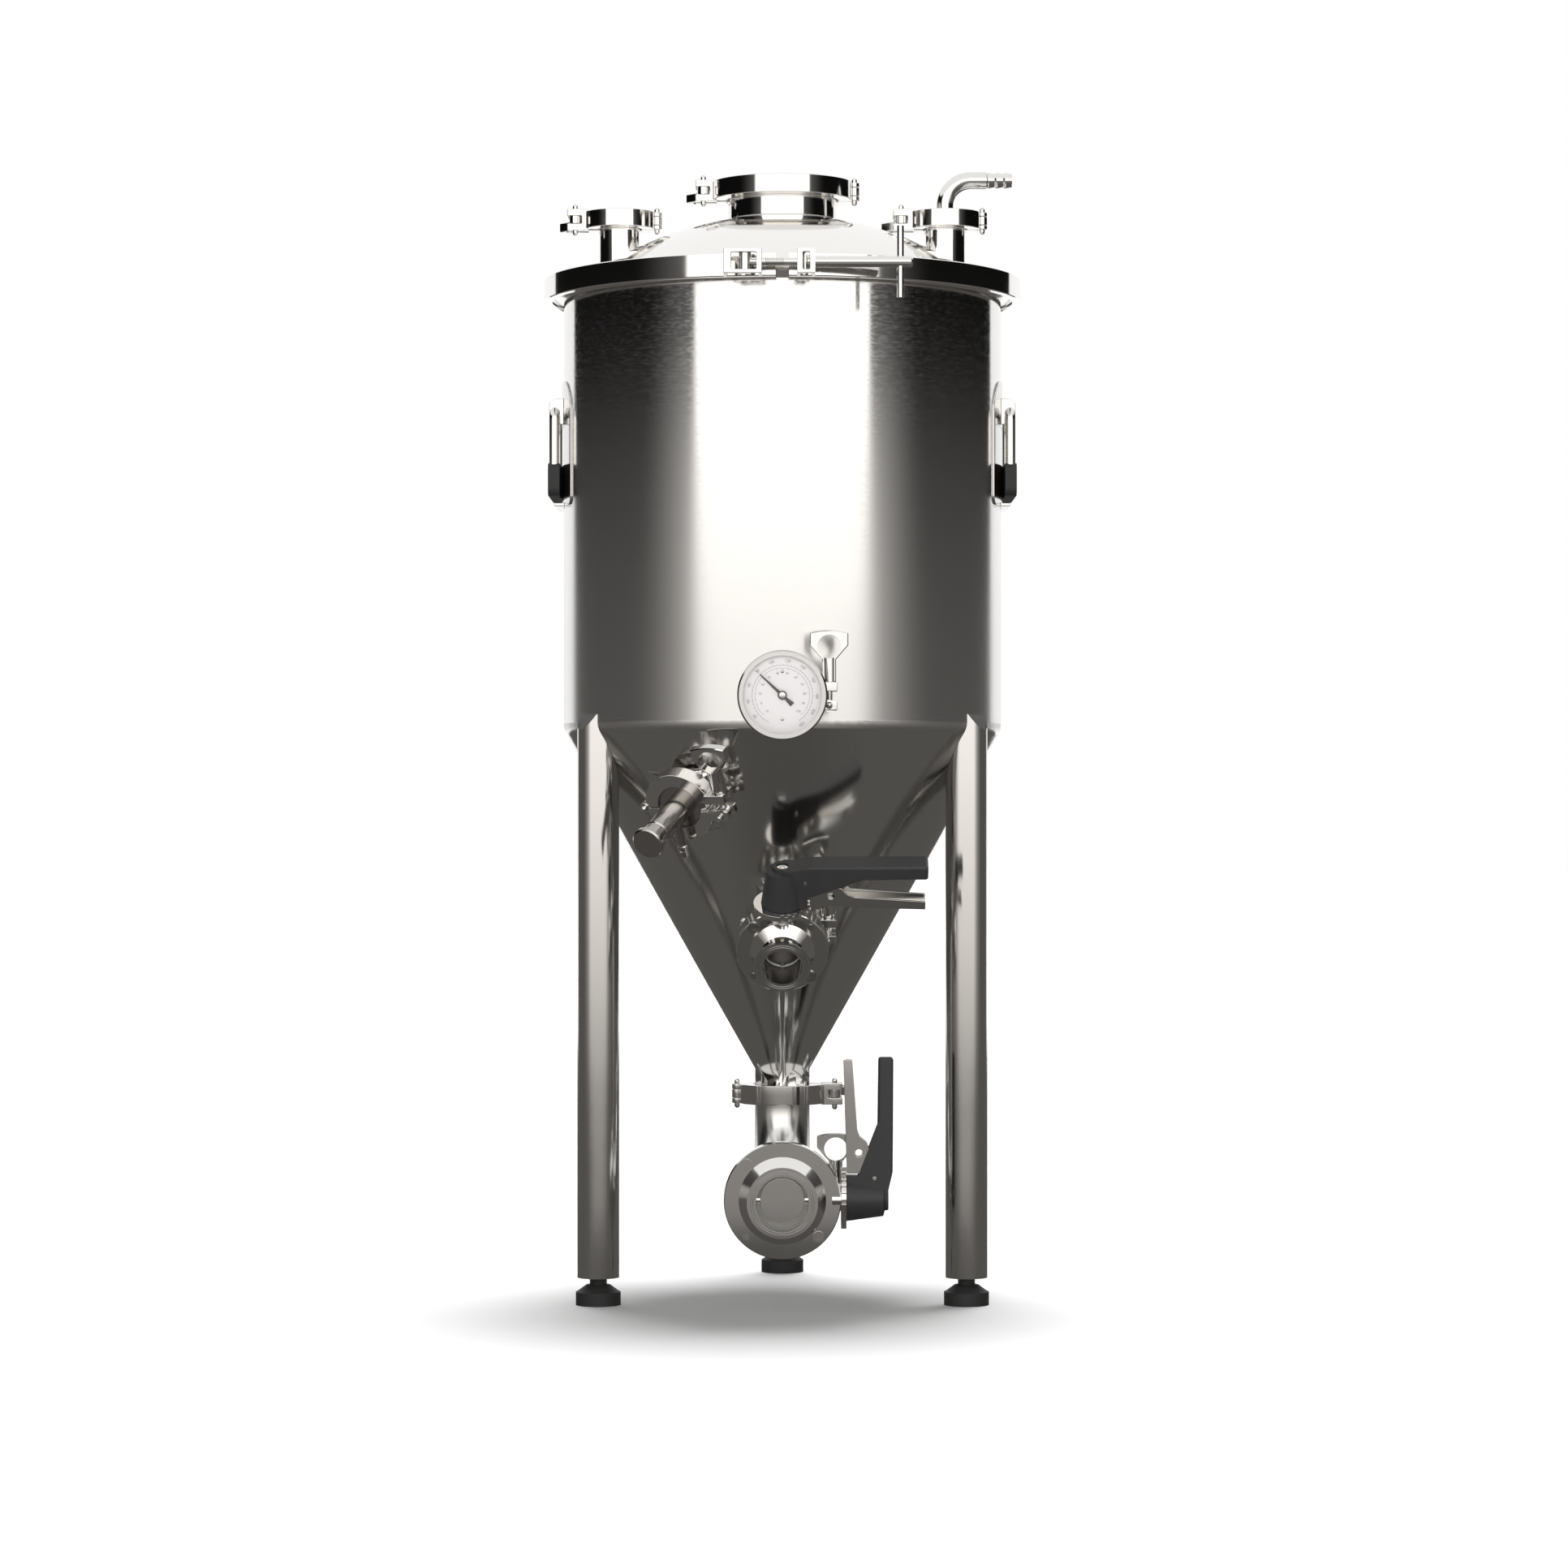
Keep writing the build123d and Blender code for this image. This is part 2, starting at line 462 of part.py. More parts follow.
def make_band():
    ring = turned(band_section())
    reach, half, pin_y = BAND_R + 20, 20, BAND_R + 4.6
    knuckle_r, pin_r, split = 5.2, 2.5, 3.8

    def knuckle(low, high, grow=0.0):
        return rod((0, pin_y, low), (0, pin_y, high), knuckle_r + grow)

    tall = BAND_HALF - 1
    middle = knuckle(-split, split)
    outer = knuckle(-tall, -split - SEAT_GAP) + knuckle(split + SEAT_GAP, tall)
    bore = rod((0, pin_y, -half), (0, pin_y, half), pin_r + RUN)
    left = ring & block(-reach, -0.4, -reach, reach, -half, half)
    left -= block(-BAND_GAP, 0, -reach, 0, -half, half)
    left = left - knuckle(-split - SEAT_GAP, split + SEAT_GAP, 0.3) + outer
    right = ring & block(0.4, reach, -reach, reach, -half, half)
    right -= block(0, BAND_GAP, -reach, 0, -half, half)
    right = right - (knuckle(-half, half, 0.3) - knuckle(-split, split, 1)) + middle
    up = Pos(0, 0, LID_JOINT_Z)
    x0, x1 = LEFT_BRACKET_X
    left_bracket = band_bracket(x0, x1, (x0 + 7, x1 - 5), (TRUNNION_X[0], x1 + 1, BAND_BOLT_R + 0.6))
    x0, x1 = RIGHT_BRACKET_X
    right_bracket = band_bracket(x0, x1, (x0 + 5, x1 - 5), (x0 - 1, x0 + 5, BAND_BOLT_R + 0.6))
    right_bracket -= rod((x0 + 5, BAND_BOLT_Y, 0), (x1 + 1, BAND_BOLT_Y, 0), BAND_NUT_R + 0.6)
    save("lid_band_left", up * (left - bore))
    save("lid_band_right", up * (right - bore))
    save("lid_band_brackets", up * group(left_bracket, right_bracket))

    hinge_pin = rod((0, pin_y, -tall - 2.4), (0, pin_y, tall + 2.4), pin_r)
    left_x, right_x = TRUNNION_X
    t_bolt = rod((left_x, BAND_BOLT_Y, -10.5), (left_x, BAND_BOLT_Y, 10.5), TRUNNION_R)
    t_bolt += rod((left_x, BAND_BOLT_Y, 0), (BAND_NUT_X[0] + 45, BAND_BOLT_Y, 0), BAND_BOLT_R)
    trunnion = rod((right_x, BAND_BOLT_Y, -10.5), (right_x, BAND_BOLT_Y, 10.5), TRUNNION_R - 1)
    seat_x = RIGHT_BRACKET_X[0] + BRACKET_WALL + SEAT_GAP
    trunnion &= block(seat_x, BAND_NUT_X[0] - FACE_GAP, BRACKET_Y, BAND_BOLT_Y + 20, -11, 11)
    trunnion -= rod((0, BAND_BOLT_Y, 0), (40, BAND_BOLT_Y, 0), BAND_BOLT_R + RUN)
    save("lid_band_bolt", up * group(t_bolt, trunnion, hinge_pin))

    start, end = BAND_NUT_X
    nut = rod((start, BAND_BOLT_Y, 0), (end, BAND_BOLT_Y, 0), BAND_NUT_R)
    nut = chamfer(nut.edges().filter_by(GeomType.CIRCLE), 1.5)
    nut -= rod((start - 1, BAND_BOLT_Y, 0), (start + 47, BAND_BOLT_Y, 0), BAND_BOLT_R + RUN)
    groove = rod((start + 17, BAND_BOLT_Y, 0), (start + 18.5, BAND_BOLT_Y, 0), BAND_NUT_R + 1)
    groove -= rod((start + 16, BAND_BOLT_Y, 0), (start + 20, BAND_BOLT_Y, 0), BAND_NUT_R - 0.6)
    bar = rod((T_BAR_X, BAND_BOLT_Y, -T_BAR_LENGTH / 2), (T_BAR_X, BAND_BOLT_Y, T_BAR_LENGTH / 2), T_BAR_R)
    save("lid_band_nut", up * (nut - groove - bar))
    save("lid_band_t_bar", up * bar)


# ---------------------------------------------------------------- legs and feet
LEG_AZIMUTHS = {"front_left": -60.0, "front_right": 60.0, "rear": 180.0}
LEG_PEAK_Z = round(KNUCKLE_Z + 12.8, 1)
LEG_LOW_Z = LEG_PEAK_Z - 14.0
FOOT_THREAD_R = 6.0
FOOT_STEM_R = 7.8
FOOT_TOP_Z, FOOT_SHOULDER_Z = 18.5, 12.0
LEG_PLUG = 22.0


def make_legs():
    slope = (LEG_PEAK_Z - LEG_LOW_Z) / (LEG_CIRCLE_R + LEG_TUBE_R - TANK_R)
    inner = LEG_TUBE_R - SHEET
    wall = tank_envelope(SEAT_GAP)

    def outline(drop):
        """The leg seen along the tank's wall: its top is cut off on a slope."""
        reach = LEG_TUBE_R + 1
        edge = TANK_R - LEG_CIRCLE_R
        low = LEG_PEAK_Z - (reach - edge) * slope
        corners = [(-reach, 0), (reach, 0), (reach, low - drop), (edge, LEG_PEAK_Z - drop),
                   (-reach, LEG_PEAK_Z - drop)]
        return plate(corners, 2 * reach, Plane.XZ)

    tube = Pos(0, 0, LEG_BOTTOM_Z) * Cylinder(LEG_TUBE_R, 600, align=CENTER_BASE) & outline(0)
    hollow = Pos(0, 0, LEG_BOTTOM_Z + LEG_PLUG) * Cylinder(inner, 600, align=CENTER_BASE) & outline(3.0)
    tube -= hollow
    tube -= Pos(0, 0, LEG_BOTTOM_Z - 1) * Cylinder(FOOT_THREAD_R + RUN, LEG_PLUG + 2, align=CENTER_BASE)
    foot = turned([
        (0, 0), (FOOT_R, 0), (FOOT_R, FOOT_SHOULDER_Z), (FOOT_R - 2, FOOT_SHOULDER_Z + 1),
        (11, FOOT_TOP_Z), (0, FOOT_TOP_Z)])
    stem_top = LEG_BOTTOM_Z - FACE_GAP
    stem_end = LEG_BOTTOM_Z + LEG_PLUG - 3
    stem = turned([
        (0, FOOT_SHOULDER_Z), (FOOT_THREAD_R, FOOT_SHOULDER_Z), (FOOT_THREAD_R, FOOT_TOP_Z),
        (FOOT_STEM_R, FOOT_TOP_Z), (FOOT_STEM_R, stem_top), (FOOT_THREAD_R, stem_top),
        (FOOT_THREAD_R, stem_end), (0, stem_end)])
    foot -= stem
    for name, azimuth in LEG_AZIMUTHS.items():
        place = Rot(0, 0, azimuth - 90) * Pos(LEG_CIRCLE_R, 0, 0)
        save(f"leg_{name}", place * tube - wall)
        save(f"foot_{name}", place * group(foot, stem))


# ---------------------------------------------------------------- side handles
BAIL_R = 4.5
BAIL_X = TANK_R + 2.5 + BAIL_R  # the bail's pivot and plane beside the tank
PIVOT_Z = LID_JOINT_Z - 114.2
BAIL_HALF = 46.0
GRIP_Z = (PIVOT_Z - 78.0, PIVOT_Z - 48.0)
PLATE_Z = (PIVOT_Z - 87.0, PIVOT_Z + 29.0)
PLATE_HALF = 64.7
PIVOT_BLOCK = (-34.0, 34.0, PIVOT_Z - 11.0, PIVOT_Z + 13.0, BAIL_X + BAIL_R + 0.7)


def make_handles():
    skin = 1.5
    ring = Pos(0, 0, PLATE_Z[0]) * (
        Cylinder(TANK_R + SEAT_GAP + skin, PLATE_Z[1] - PLATE_Z[0], align=CENTER_BASE)
        - Cylinder(TANK_R + SEAT_GAP, PLATE_Z[1] - PLATE_Z[0], align=CENTER_BASE))
    outline = Plane.YZ * Pos(0, sum(PLATE_Z) / 2) * Rectangle(2 * PLATE_HALF, PLATE_Z[1] - PLATE_Z[0])
    outline = fillet(outline.vertices().group_by(Axis.Z)[-1], 30)
    outline = fillet(outline.vertices().group_by(Axis.Z)[0], 8)
    pad = ring & extrude(outline, TANK_R + 20)
    y0, y1, z0, z1, face = PIVOT_BLOCK
    pivot = block(TANK_R - 12, face, y0, y1, z0, z1)
    pivot = fillet(pivot.edges().filter_by(Axis.Y).group_by(Axis.X)[-1].sort_by(Axis.Z)[-1], 7)
    lip = block(TANK_R - 5, TANK_R + 7, -38, 38, PLATE_Z[0], PLATE_Z[0] + 3)
    bracket = pad + (pivot + lip - tank_envelope(SEAT_GAP))
    bracket -= rod((BAIL_X, y0 - 1, PIVOT_Z), (BAIL_X, y1 + 1, PIVOT_Z), BAIL_R + RUN)

    middle_z = sum(GRIP_Z) / 2
    loop = Plane((BAIL_X, 0, (PIVOT_Z + middle_z) / 2), x_dir=Y, z_dir=X)
    path = (loop * RectangleRounded(2 * BAIL_HALF, PIVOT_Z - middle_z, 7)).wire()
    bail = sweep(Plane(path @ 0, z_dir=path % 0) * Circle(BAIL_R), path)
    grip_half = BAIL_HALF + 7.5
    grip = block(BAIL_X - 5.2, BAIL_X + 5.4, -grip_half, grip_half, *GRIP_Z)
    grip = fillet(grip.edges().filter_by(Axis.X), 7)
    grip -= bail
    for name, angle in (("right", 0), ("left", 180)):
        turn = Rot(0, 0, angle)
        save(f"handle_bracket_{name}", turn * bracket)
        save(f"handle_bail_{name}", turn * bail)
        save(f"handle_grip_{name}", turn * grip)


# ---------------------------------------------------------------- thermometer and sample valve
DIAL_R = 36.8
BEZEL_R = 39.5
BEZEL_FRONT = 42.8            # bezel's front beyond the joint plane
PROBE_R, PROBE_LENGTH = 4.0, 94.0
POINTER_ANGLE = 47.0          # rest position, left of the top


def make_thermometer():
    frame = Plane((0, -TANK_R - WALL_PORT, THERMOMETER_Z), x_dir=X, z_dir=-Y)
    low, high = GASKET / 2, GASKET / 2 + ferrule_back(INCH_AND_HALF)
    size, front = INCH_AND_HALF, BEZEL_FRONT
    case = turned([
        (0, -PROBE_LENGTH), (PROBE_R, -PROBE_LENGTH), (PROBE_R, low), (size.ferrule_r, low),
        (size.ferrule_r, low + FERRULE_RIM), (size.tube_r, high), (9, high), (9, front - 21),
        (30, front - 19), (36.5, front - 16), (36.5, front - 13), (BEZEL_R, front - 12),
        (BEZEL_R, front - 1.4), (BEZEL_R - 1.4, front), (34.6, front), (34.6, front - 1.8),
        (DIAL_R + 0.2, front - 1.8), (DIAL_R + 0.2, front - 9), (0, front - 9)])
    glass = Pos(0, 0, front - 3.9) * Cylinder(DIAL_R + 0.1, 2, align=CENTER_BASE)
    face = Pos(0, 0, front - 8.9) * Cylinder(DIAL_R, 1, align=CENTER_BASE)
    face -= Pos(0, 0, front - 9) * Cylinder(1.5 + RUN, 3, align=CENTER_BASE)
    case -= Pos(0, 0, front - 10.5) * Cylinder(1.5 + RUN, 3, align=CENTER_BASE)
    save("thermometer_case", frame * case)
    save("thermometer_glass", frame * glass)
    save("thermometer_dial", frame * face)
    needle = plate([(-0.5, 26.5), (0.5, 26.5), (1.3, 2), (1.3, -5), (2.4, -12), (-2.4, -12),
                    (-1.3, -5), (-1.3, 2)], 0.8)
    needle += Cylinder(4, 0.8) + Pos(0, 0, -4.2) * Cylinder(1.5, 4.2, align=CENTER_BASE)
    needle = Pos(0, 0, front - 6) * Rot(0, 0, POINTER_ANGLE) * needle
    save("thermometer_pointer", frame * needle)


def make_sample_valve():
    frame = Plane(SAMPLE_JOINT, x_dir=SAMPLE_RIGHT, z_dir=SAMPLE_NORMAL)
    size, low, high = INCH_AND_HALF, GASKET / 2, GASKET / 2 + ferrule_back(INCH_AND_HALF)
    body_r, body_end, bore_r, shaft_r = 12.0, 55.0, 5.0, 4.0
    seat_r, seat_z, seat_slope = 3.0, 10.0, 0.5
    body = turned([
        (bore_r, low), (size.ferrule_r, low), (size.ferrule_r, low + FERRULE_RIM), (size.tube_r, high),
        (body_r, high), (body_r, body_end - 1), (body_r - 1, body_end), (shaft_r + RUN, body_end),
        (shaft_r + RUN, 30), (bore_r, 28), (bore_r, seat_z + (bore_r - seat_r) / seat_slope),
        (seat_r, seat_z), (seat_r, seat_z - 2), (bore_r, seat_z - 4)])
    spout_z, spout_end = 18.0, 44.0
    spout = rod((0, -6, spout_z), (0, -spout_end + 12, spout_z), 4)
    spout += Plane((0, -spout_end + 12, spout_z), z_dir=(0, -1, 0)) * turned([
        (0, 0), (3.4, 0), (4.4, 1.5), (3.6, 5.6), (4.4, 6), (3.4, 11.6), (3.2, 12), (0, 12)])
    body += spout - rod((0, 0, 0), (0, 0, 60), body_r - 2)
    body -= rod((0, 0, spout_z), (0, -spout_end - 1, spout_z), 2.4)
    tip_r, tip_z = seat_r - RUN, seat_z + FACE_GAP
    knob = turned([
        (0, seat_z - 1.5), (tip_r, seat_z - 1.5), (tip_r, tip_z), (shaft_r, tip_z + (shaft_r - tip_r) / seat_slope),
        (shaft_r, body_end + FACE_GAP), (body_r - 1, body_end + FACE_GAP),
        (body_r, body_end + 1.3), (body_r, 67), (14.75, 68.5), (14.75, 72), (13.5, 73.5), (0, 73.5)])
    save("sample_valve_body", frame * body)
    save("sample_valve_knob", frame * knob)


# ---------------------------------------------------------------- racking arm and outlet elbow
RACKING_ARM_R = 12.7
RACKING_ARM_BEND = 38.0
RACKING_ARM_LENGTH = 45.0


def make_racking_arm():
    """A bent tube inside the cone that draws from above the settled yeast."""
    frame = Plane(RACKING_JOINT, x_dir=RACKING_RIGHT, z_dir=RACKING_NORMAL)
    inner, bend, start = RACKING_ARM_R - SHEET, RACKING_ARM_BEND, -RACKING_PORT - 14
    axis = Axis((0, -bend, start), (1, 0, 0))

    def run(radius, extra=0.0):
        straight = rod((0, 0, extra - 2), (0, 0, start), radius)
        turn = revolve(Plane((0, 0, start), z_dir=(0, 0, -1)) * Circle(radius), axis, -75)
        tip = Plane((0, -bend, start)) * Rot(-75, 0, 0) * Pos(0, bend, 0)
        return straight + turn + tip * Pos(0, 0, -22 - extra) * Cylinder(radius, 22 + extra, align=CENTER_BASE)

    collar = rod((0, 0, -12), (0, 0, -6), INCH_AND_HALF.tube_r - SHEET - SEAT_GAP / 2)
    arm = run(RACKING_ARM_R) + collar - run(inner, 4)
    save("racking_arm", frame * arm)


def make_elbow():
    size, bend = TWO_INCH, ELBOW_BEND_R
    end = ferrule(size, ELBOW_REACH - bend - GASKET / 2)
    top = Plane((0, 0, OUTLET_JOINT_Z), z_dir=Z) * end
    front = Plane((0, -ELBOW_REACH, OUTLET_Z), z_dir=-Y) * end
    ring = Circle(size.tube_r) - Circle(size.tube_r - SHEET)
    axis = Axis((0, -bend, OUTLET_Z + bend), (-1, 0, 0))
    turn = revolve(Pos(0, 0, OUTLET_Z + bend) * ring, axis, 90)
    save("dump_elbow", top + turn + front)


# ---------------------------------------------------------------- butterfly valves
Valve = namedtuple("Valve", "joint flange_r bolt_xy reach flange_half hub_r bore_r stem_r seat_half boss_r")
DUMP = Valve(TWO_INCH, 53.0, 32.7, 36.0, 9.0, 39.5, 23.75, 5.0, 6.6, 9.7)
RACKING = Valve(INCH_AND_HALF, 41.5, 25.5, 35.0, 8.0, 29.0, 17.4, 4.0, 5.4, 8.0)
SEAT_WALL = 6.0
INDEX_R, INDEX_THICK = 26.0, 4.7
NOTCH_STEP, NOTCH_DEPTH, NOTCH_WIDTH = 15, 3.5, 3.6
TOOTH_WIDTH = 3.0
VALVE_BOLT_R = 3.0
VALVE_HEAD_R, VALVE_HEAD_HEIGHT = 5.3, 1.8
ARM_LENGTH, ARM_WIDTH = 129.5, 22.0
TRIGGER_WIDTH = 16.0
TRIGGER_PIVOT = (25.2, 20.3)  # beyond the hub's inner face, and up the arm
DISC_GAP = 0.1
# The trigger's cheek: distance along the stem from the hub's face, and up the arm.
TRIGGER_OUTLINE = [(-2.8, 127.4), (5.1, 127.4), (9.6, 64), (11.9, 58), (18.1, 52.6), (22.4, 43),
                   (30.4, 22), (30.2, 17.5), (25.2, 14.8), (10.7, 24.6), (0.2, 24.6)]


def valve_body(valve):
    """One half of the body, with its ferrule on +Z and the stem's boss on +X."""
    size, end, bore, half = valve.joint, valve.reach, valve.bore_r, valve.flange_half
    pocket, taper_end = bore + SEAT_WALL, half + 9.5
    body = turned([
        (bore, valve.seat_half), (pocket, valve.seat_half), (pocket, 0), (valve.flange_r, 0),
        (valve.flange_r, half - 0.8), (valve.flange_r - 0.8, half), (valve.hub_r, half),
        (size.tube_r + 1.0, taper_end - 2), (size.tube_r, taper_end), (size.tube_r, end - ferrule_back(size)),
        (size.ferrule_r, end - FERRULE_RIM), (size.ferrule_r, end), (bore, end)])
    boss_start, boss_end = valve.flange_r - 8, index_start(valve)
    boss = rod((boss_start, 0, 0), (boss_end, 0, 0), valve.boss_r)
    body += boss & block(0, boss_end, -30, 30, 0, 30)
    stem = valve.stem_r + RUN
    body -= rod((0, 0, 0), (boss_end + 1, 0, 0), stem) + rod((-pocket - 5, 0, 0), (0, 0, 0), stem)
    for x in (-1, 1):
        for y in (-1, 1):
            body -= Pos(x * valve.bolt_xy, y * valve.bolt_xy) * Cylinder(VALVE_BOLT_R + RUN, 60)
    return body


def index_start(valve):
    return valve.flange_r + 0.2


def hub_start(valve):
    return index_start(valve) + INDEX_THICK + FACE_GAP


def valve_seat(valve):
    bore, pocket, half = valve.bore_r, valve.bore_r + SEAT_WALL - SEAT_GAP / 2, valve.seat_half - SEAT_GAP / 2
    seat = turned([(bore, -half), (pocket, -half), (pocket, half), (bore, half)])
    return seat - rod((-pocket - 1, 0, 0), (pocket + 1, 0, 0), valve.stem_r + RUN)


def valve_bolts(valve):
    bolts = []
    for x in (-1, 1):
        for y in (-1, 1):
            up = 1 if x == -y else -1
            half = valve.flange_half
            head = Pos(0, 0, half) * Cylinder(VALVE_HEAD_R, VALVE_HEAD_HEIGHT, align=CENTER_BASE)
            socket = extrude(RegularPolygon(2.3, 6), 4)
            head -= Pos(0, 0, half + VALVE_HEAD_HEIGHT - 1.3) * socket
            bolt = head + Pos(0, 0, -half - 0.8) * Cylinder(VALVE_BOLT_R, 2 * half + 2, align=CENTER_BASE)
            bolts.append(Pos(x * valve.bolt_xy, y * valve.bolt_xy) * Rot(0 if up > 0 else 180, 0, 0) * bolt)
    return bolts


def index_plate(valve):
    """The notched plate that the trigger's tooth drops into, every 15 degrees of the handle's travel."""
    start, end = index_start(valve), index_start(valve) + INDEX_THICK
    disc = rod((start, 0, 0), (end, 0, 0), INDEX_R)
    disc -= rod((start - 1, 0, 0), (end + 1, 0, 0), valve.stem_r + RUN)
    notch = block(start - 1, end + 1, -NOTCH_WIDTH / 2, NOTCH_WIDTH / 2, INDEX_R - NOTCH_DEPTH, INDEX_R + 2)
    for angle in range(-135, 1, NOTCH_STEP):
        disc -= Rot(angle, 0, 0) * notch
    return disc


def disc_and_stem(valve):
    rim = valve.bore_r - DISC_GAP
    half = valve.stem_r + 0.2
    disc = Sphere(rim) & turned([
        (0, -half), (rim - 4, -half), (rim + 1, -1.6), (rim + 1, 1.6), (rim - 4, half), (0, half)])
    stem_end = hub_start(valve) + 33
    stem = rod((-valve.bore_r - SEAT_WALL - 4, 0, 0), (stem_end, 0, 0), valve.stem_r)
    screw = rod((stem_end + 0.2, 0, 0), (stem_end + 3.4, 0, 0), 5.0)
    screw -= rod((stem_end + 1.6, 0, 0), (stem_end + 4, 0, 0), 2.5)
    return group(disc + stem, screw)


def trigger(valve):
    """A bent sheet lever: a web for the fingers, two cheeks and a tooth."""
    origin = Pos(hub_start(valve), 0, 0)
    lever = plate(TRIGGER_OUTLINE, TRIGGER_WIDTH)
    hollow = [(-0.6, 130), (40, 130), (40, 10), (2.4, 10)]
    lever -= plate(hollow, TRIGGER_WIDTH - 3.6)
    lever -= rod((11, 43.2, -20), (11, 43.2, 20), 3.4)
    u, w = TRIGGER_PIVOT
    lever += rod((u, w, -ARM_WIDTH / 2 + 0.1), (u, w, ARM_WIDTH / 2 - 0.1), 2.0)
    half = TOOTH_WIDTH / 2
    tooth = block(-INDEX_THICK, -FACE_GAP, INDEX_R - NOTCH_DEPTH + FACE_GAP, 30, -half, half)
    tooth += block(-1.0, 2.4, 24.6, 30, -half, half)
    web_foot = block(0.2, 2.4, 24.6, 30, -TRIGGER_WIDTH / 2, TRIGGER_WIDTH / 2)
    return origin * (lever + tooth + web_foot)


def handle(valve):
    """Moulded lever: a round hub that flows into a square arm, slotted for the trigger."""
    origin = Pos(hub_start(valve), 0, 0)
    hub = Plane((0, 0, 0), x_dir=(0, 1, 0), z_dir=(1, 0, 0)) * turned([
        (0, 0), (19, 0), (14.5, 33.3), (9.6, 34.6), (9, 37.8), (0, 37.8)])
    arm = plate([
        (0, 0), (34.4, 0), (37.7, 0.5), (37.6, 9.5), (41.6, 26.5), (42.2, ARM_LENGTH), (28.8, ARM_LENGTH),
        (28.0, 68.5), (10.2, 22.4), (0, 22.4)], ARM_WIDTH)
    arm = fillet(arm.edges().filter_by(Axis.Z).group_by(Axis.Y)[-1], 2.5)
    outer_edges = arm.faces().sort_by(Axis.X)[-1].edges().filter_by(lambda e: abs(e.tangent_at(0).Y) > 0.9)
    arm = fillet(outer_edges, 2.5)
    slot = plate([
        (-1, 22.5), (9.6, 22.5), (19, 14.2), (31.8, 14.2), (31.8, 24), (27.8, 45), (27.8, 70), (-1, 70)],
        TRIGGER_WIDTH + 0.8)
    u, w = TRIGGER_PIVOT
    lever = hub + arm - slot - rod((u, w, -ARM_WIDTH), (u, w, ARM_WIDTH), 2.0 + RUN)
    lever -= rod((-1, 0, 0), (36, 0, 0), valve.stem_r + RUN) + rod((33.1, 0, 0), (40, 0, 0), 5.6)
    return origin * lever


def make_valves():
    down_stream = DUMP.reach + GASKET / 2
    places = {
        "dump": (DUMP, Plane((0, -ELBOW_REACH - down_stream, OUTLET_Z), x_dir=X, z_dir=-Y), False),
        "racking": (RACKING, Plane(RACKING_JOINT + RACKING_NORMAL * (RACKING.reach + GASKET / 2),
                                   x_dir=RACKING_UP, z_dir=RACKING_NORMAL), True),
    }
    seats, bolts, plates = [], [], []
    for name, (valve, frame, flipped) in places.items():
        def put(shape):
            return frame * (mirror(shape, Plane.XZ) if flipped else shape)

        outer = valve_body(valve)
        save(f"{name}_valve_outer", put(outer))
        save(f"{name}_valve_inner", put(mirror(outer, Plane.XY)))
        seats.append(put(valve_seat(valve)))
        bolts += [put(bolt) for bolt in valve_bolts(valve)]
        plates.append(put(index_plate(valve)))
        save(f"{name}_stem_and_disc", group(*[put(s) for s in disc_and_stem(valve).solids()]))
        save(f"{name}_handle", put(handle(valve)))
        save(f"{name}_trigger", put(trigger(valve)))
    save("valve_seats", group(*seats))
    save("valve_bolts", group(*bolts))
    save("valve_index_plates", group(*plates))


os.makedirs("parts", exist_ok=True)
make_clamps()
make_tank()
make_lid()
make_band()
make_legs()
make_handles()
make_thermometer()
make_sample_valve()
make_racking_arm()
make_elbow()
make_valves()
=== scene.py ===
# %% [markdown]
# # A conical fermenter
# This notebook dresses a finished CAD model of a steel fermenter: a cylinder with a cone below it,
# a domed lid, clamped ports and lever valves. The CAD pieces already have their true shapes, so most
# of the work is in what CAD leaves out: threads, weld beads, printing on the dial, and above all
# steel that reflects a studio. Every length is in metres, in the same frame as the CAD, and MM
# stands for a millimetre.

# %% Load the CAD model
import json
import math

import bpy
from mathutils import Matrix, Vector

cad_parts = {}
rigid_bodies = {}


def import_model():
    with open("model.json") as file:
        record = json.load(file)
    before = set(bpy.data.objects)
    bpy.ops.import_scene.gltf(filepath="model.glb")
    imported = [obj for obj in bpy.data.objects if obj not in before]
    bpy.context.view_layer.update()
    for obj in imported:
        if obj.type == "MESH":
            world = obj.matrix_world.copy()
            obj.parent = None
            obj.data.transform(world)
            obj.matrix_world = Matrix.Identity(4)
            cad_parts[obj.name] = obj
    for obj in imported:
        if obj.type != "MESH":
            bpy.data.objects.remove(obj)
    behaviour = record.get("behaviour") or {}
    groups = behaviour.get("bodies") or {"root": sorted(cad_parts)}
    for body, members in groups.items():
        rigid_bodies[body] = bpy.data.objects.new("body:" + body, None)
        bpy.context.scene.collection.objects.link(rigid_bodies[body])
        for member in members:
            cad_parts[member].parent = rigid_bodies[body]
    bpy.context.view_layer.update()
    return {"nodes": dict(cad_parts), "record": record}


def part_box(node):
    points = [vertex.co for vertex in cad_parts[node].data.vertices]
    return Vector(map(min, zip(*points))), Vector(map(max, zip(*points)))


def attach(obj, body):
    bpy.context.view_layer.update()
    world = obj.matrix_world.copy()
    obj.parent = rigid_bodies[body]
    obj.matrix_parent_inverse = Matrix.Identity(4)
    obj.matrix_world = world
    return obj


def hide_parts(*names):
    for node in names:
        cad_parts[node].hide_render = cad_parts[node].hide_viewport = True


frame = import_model()
nodes = frame["nodes"]
bpy.ops.object.select_all(action="DESELECT")
MM = 0.001


# %% [markdown]
# ## Reading sizes from the frame
# A piece that is added has to sit on the CAD to a fraction of a millimetre. Most places are read from
# a node's box. The few that no box shows, such as where a port leaves the cone, are worked out from
# the sizes that the CAD was drawn to.

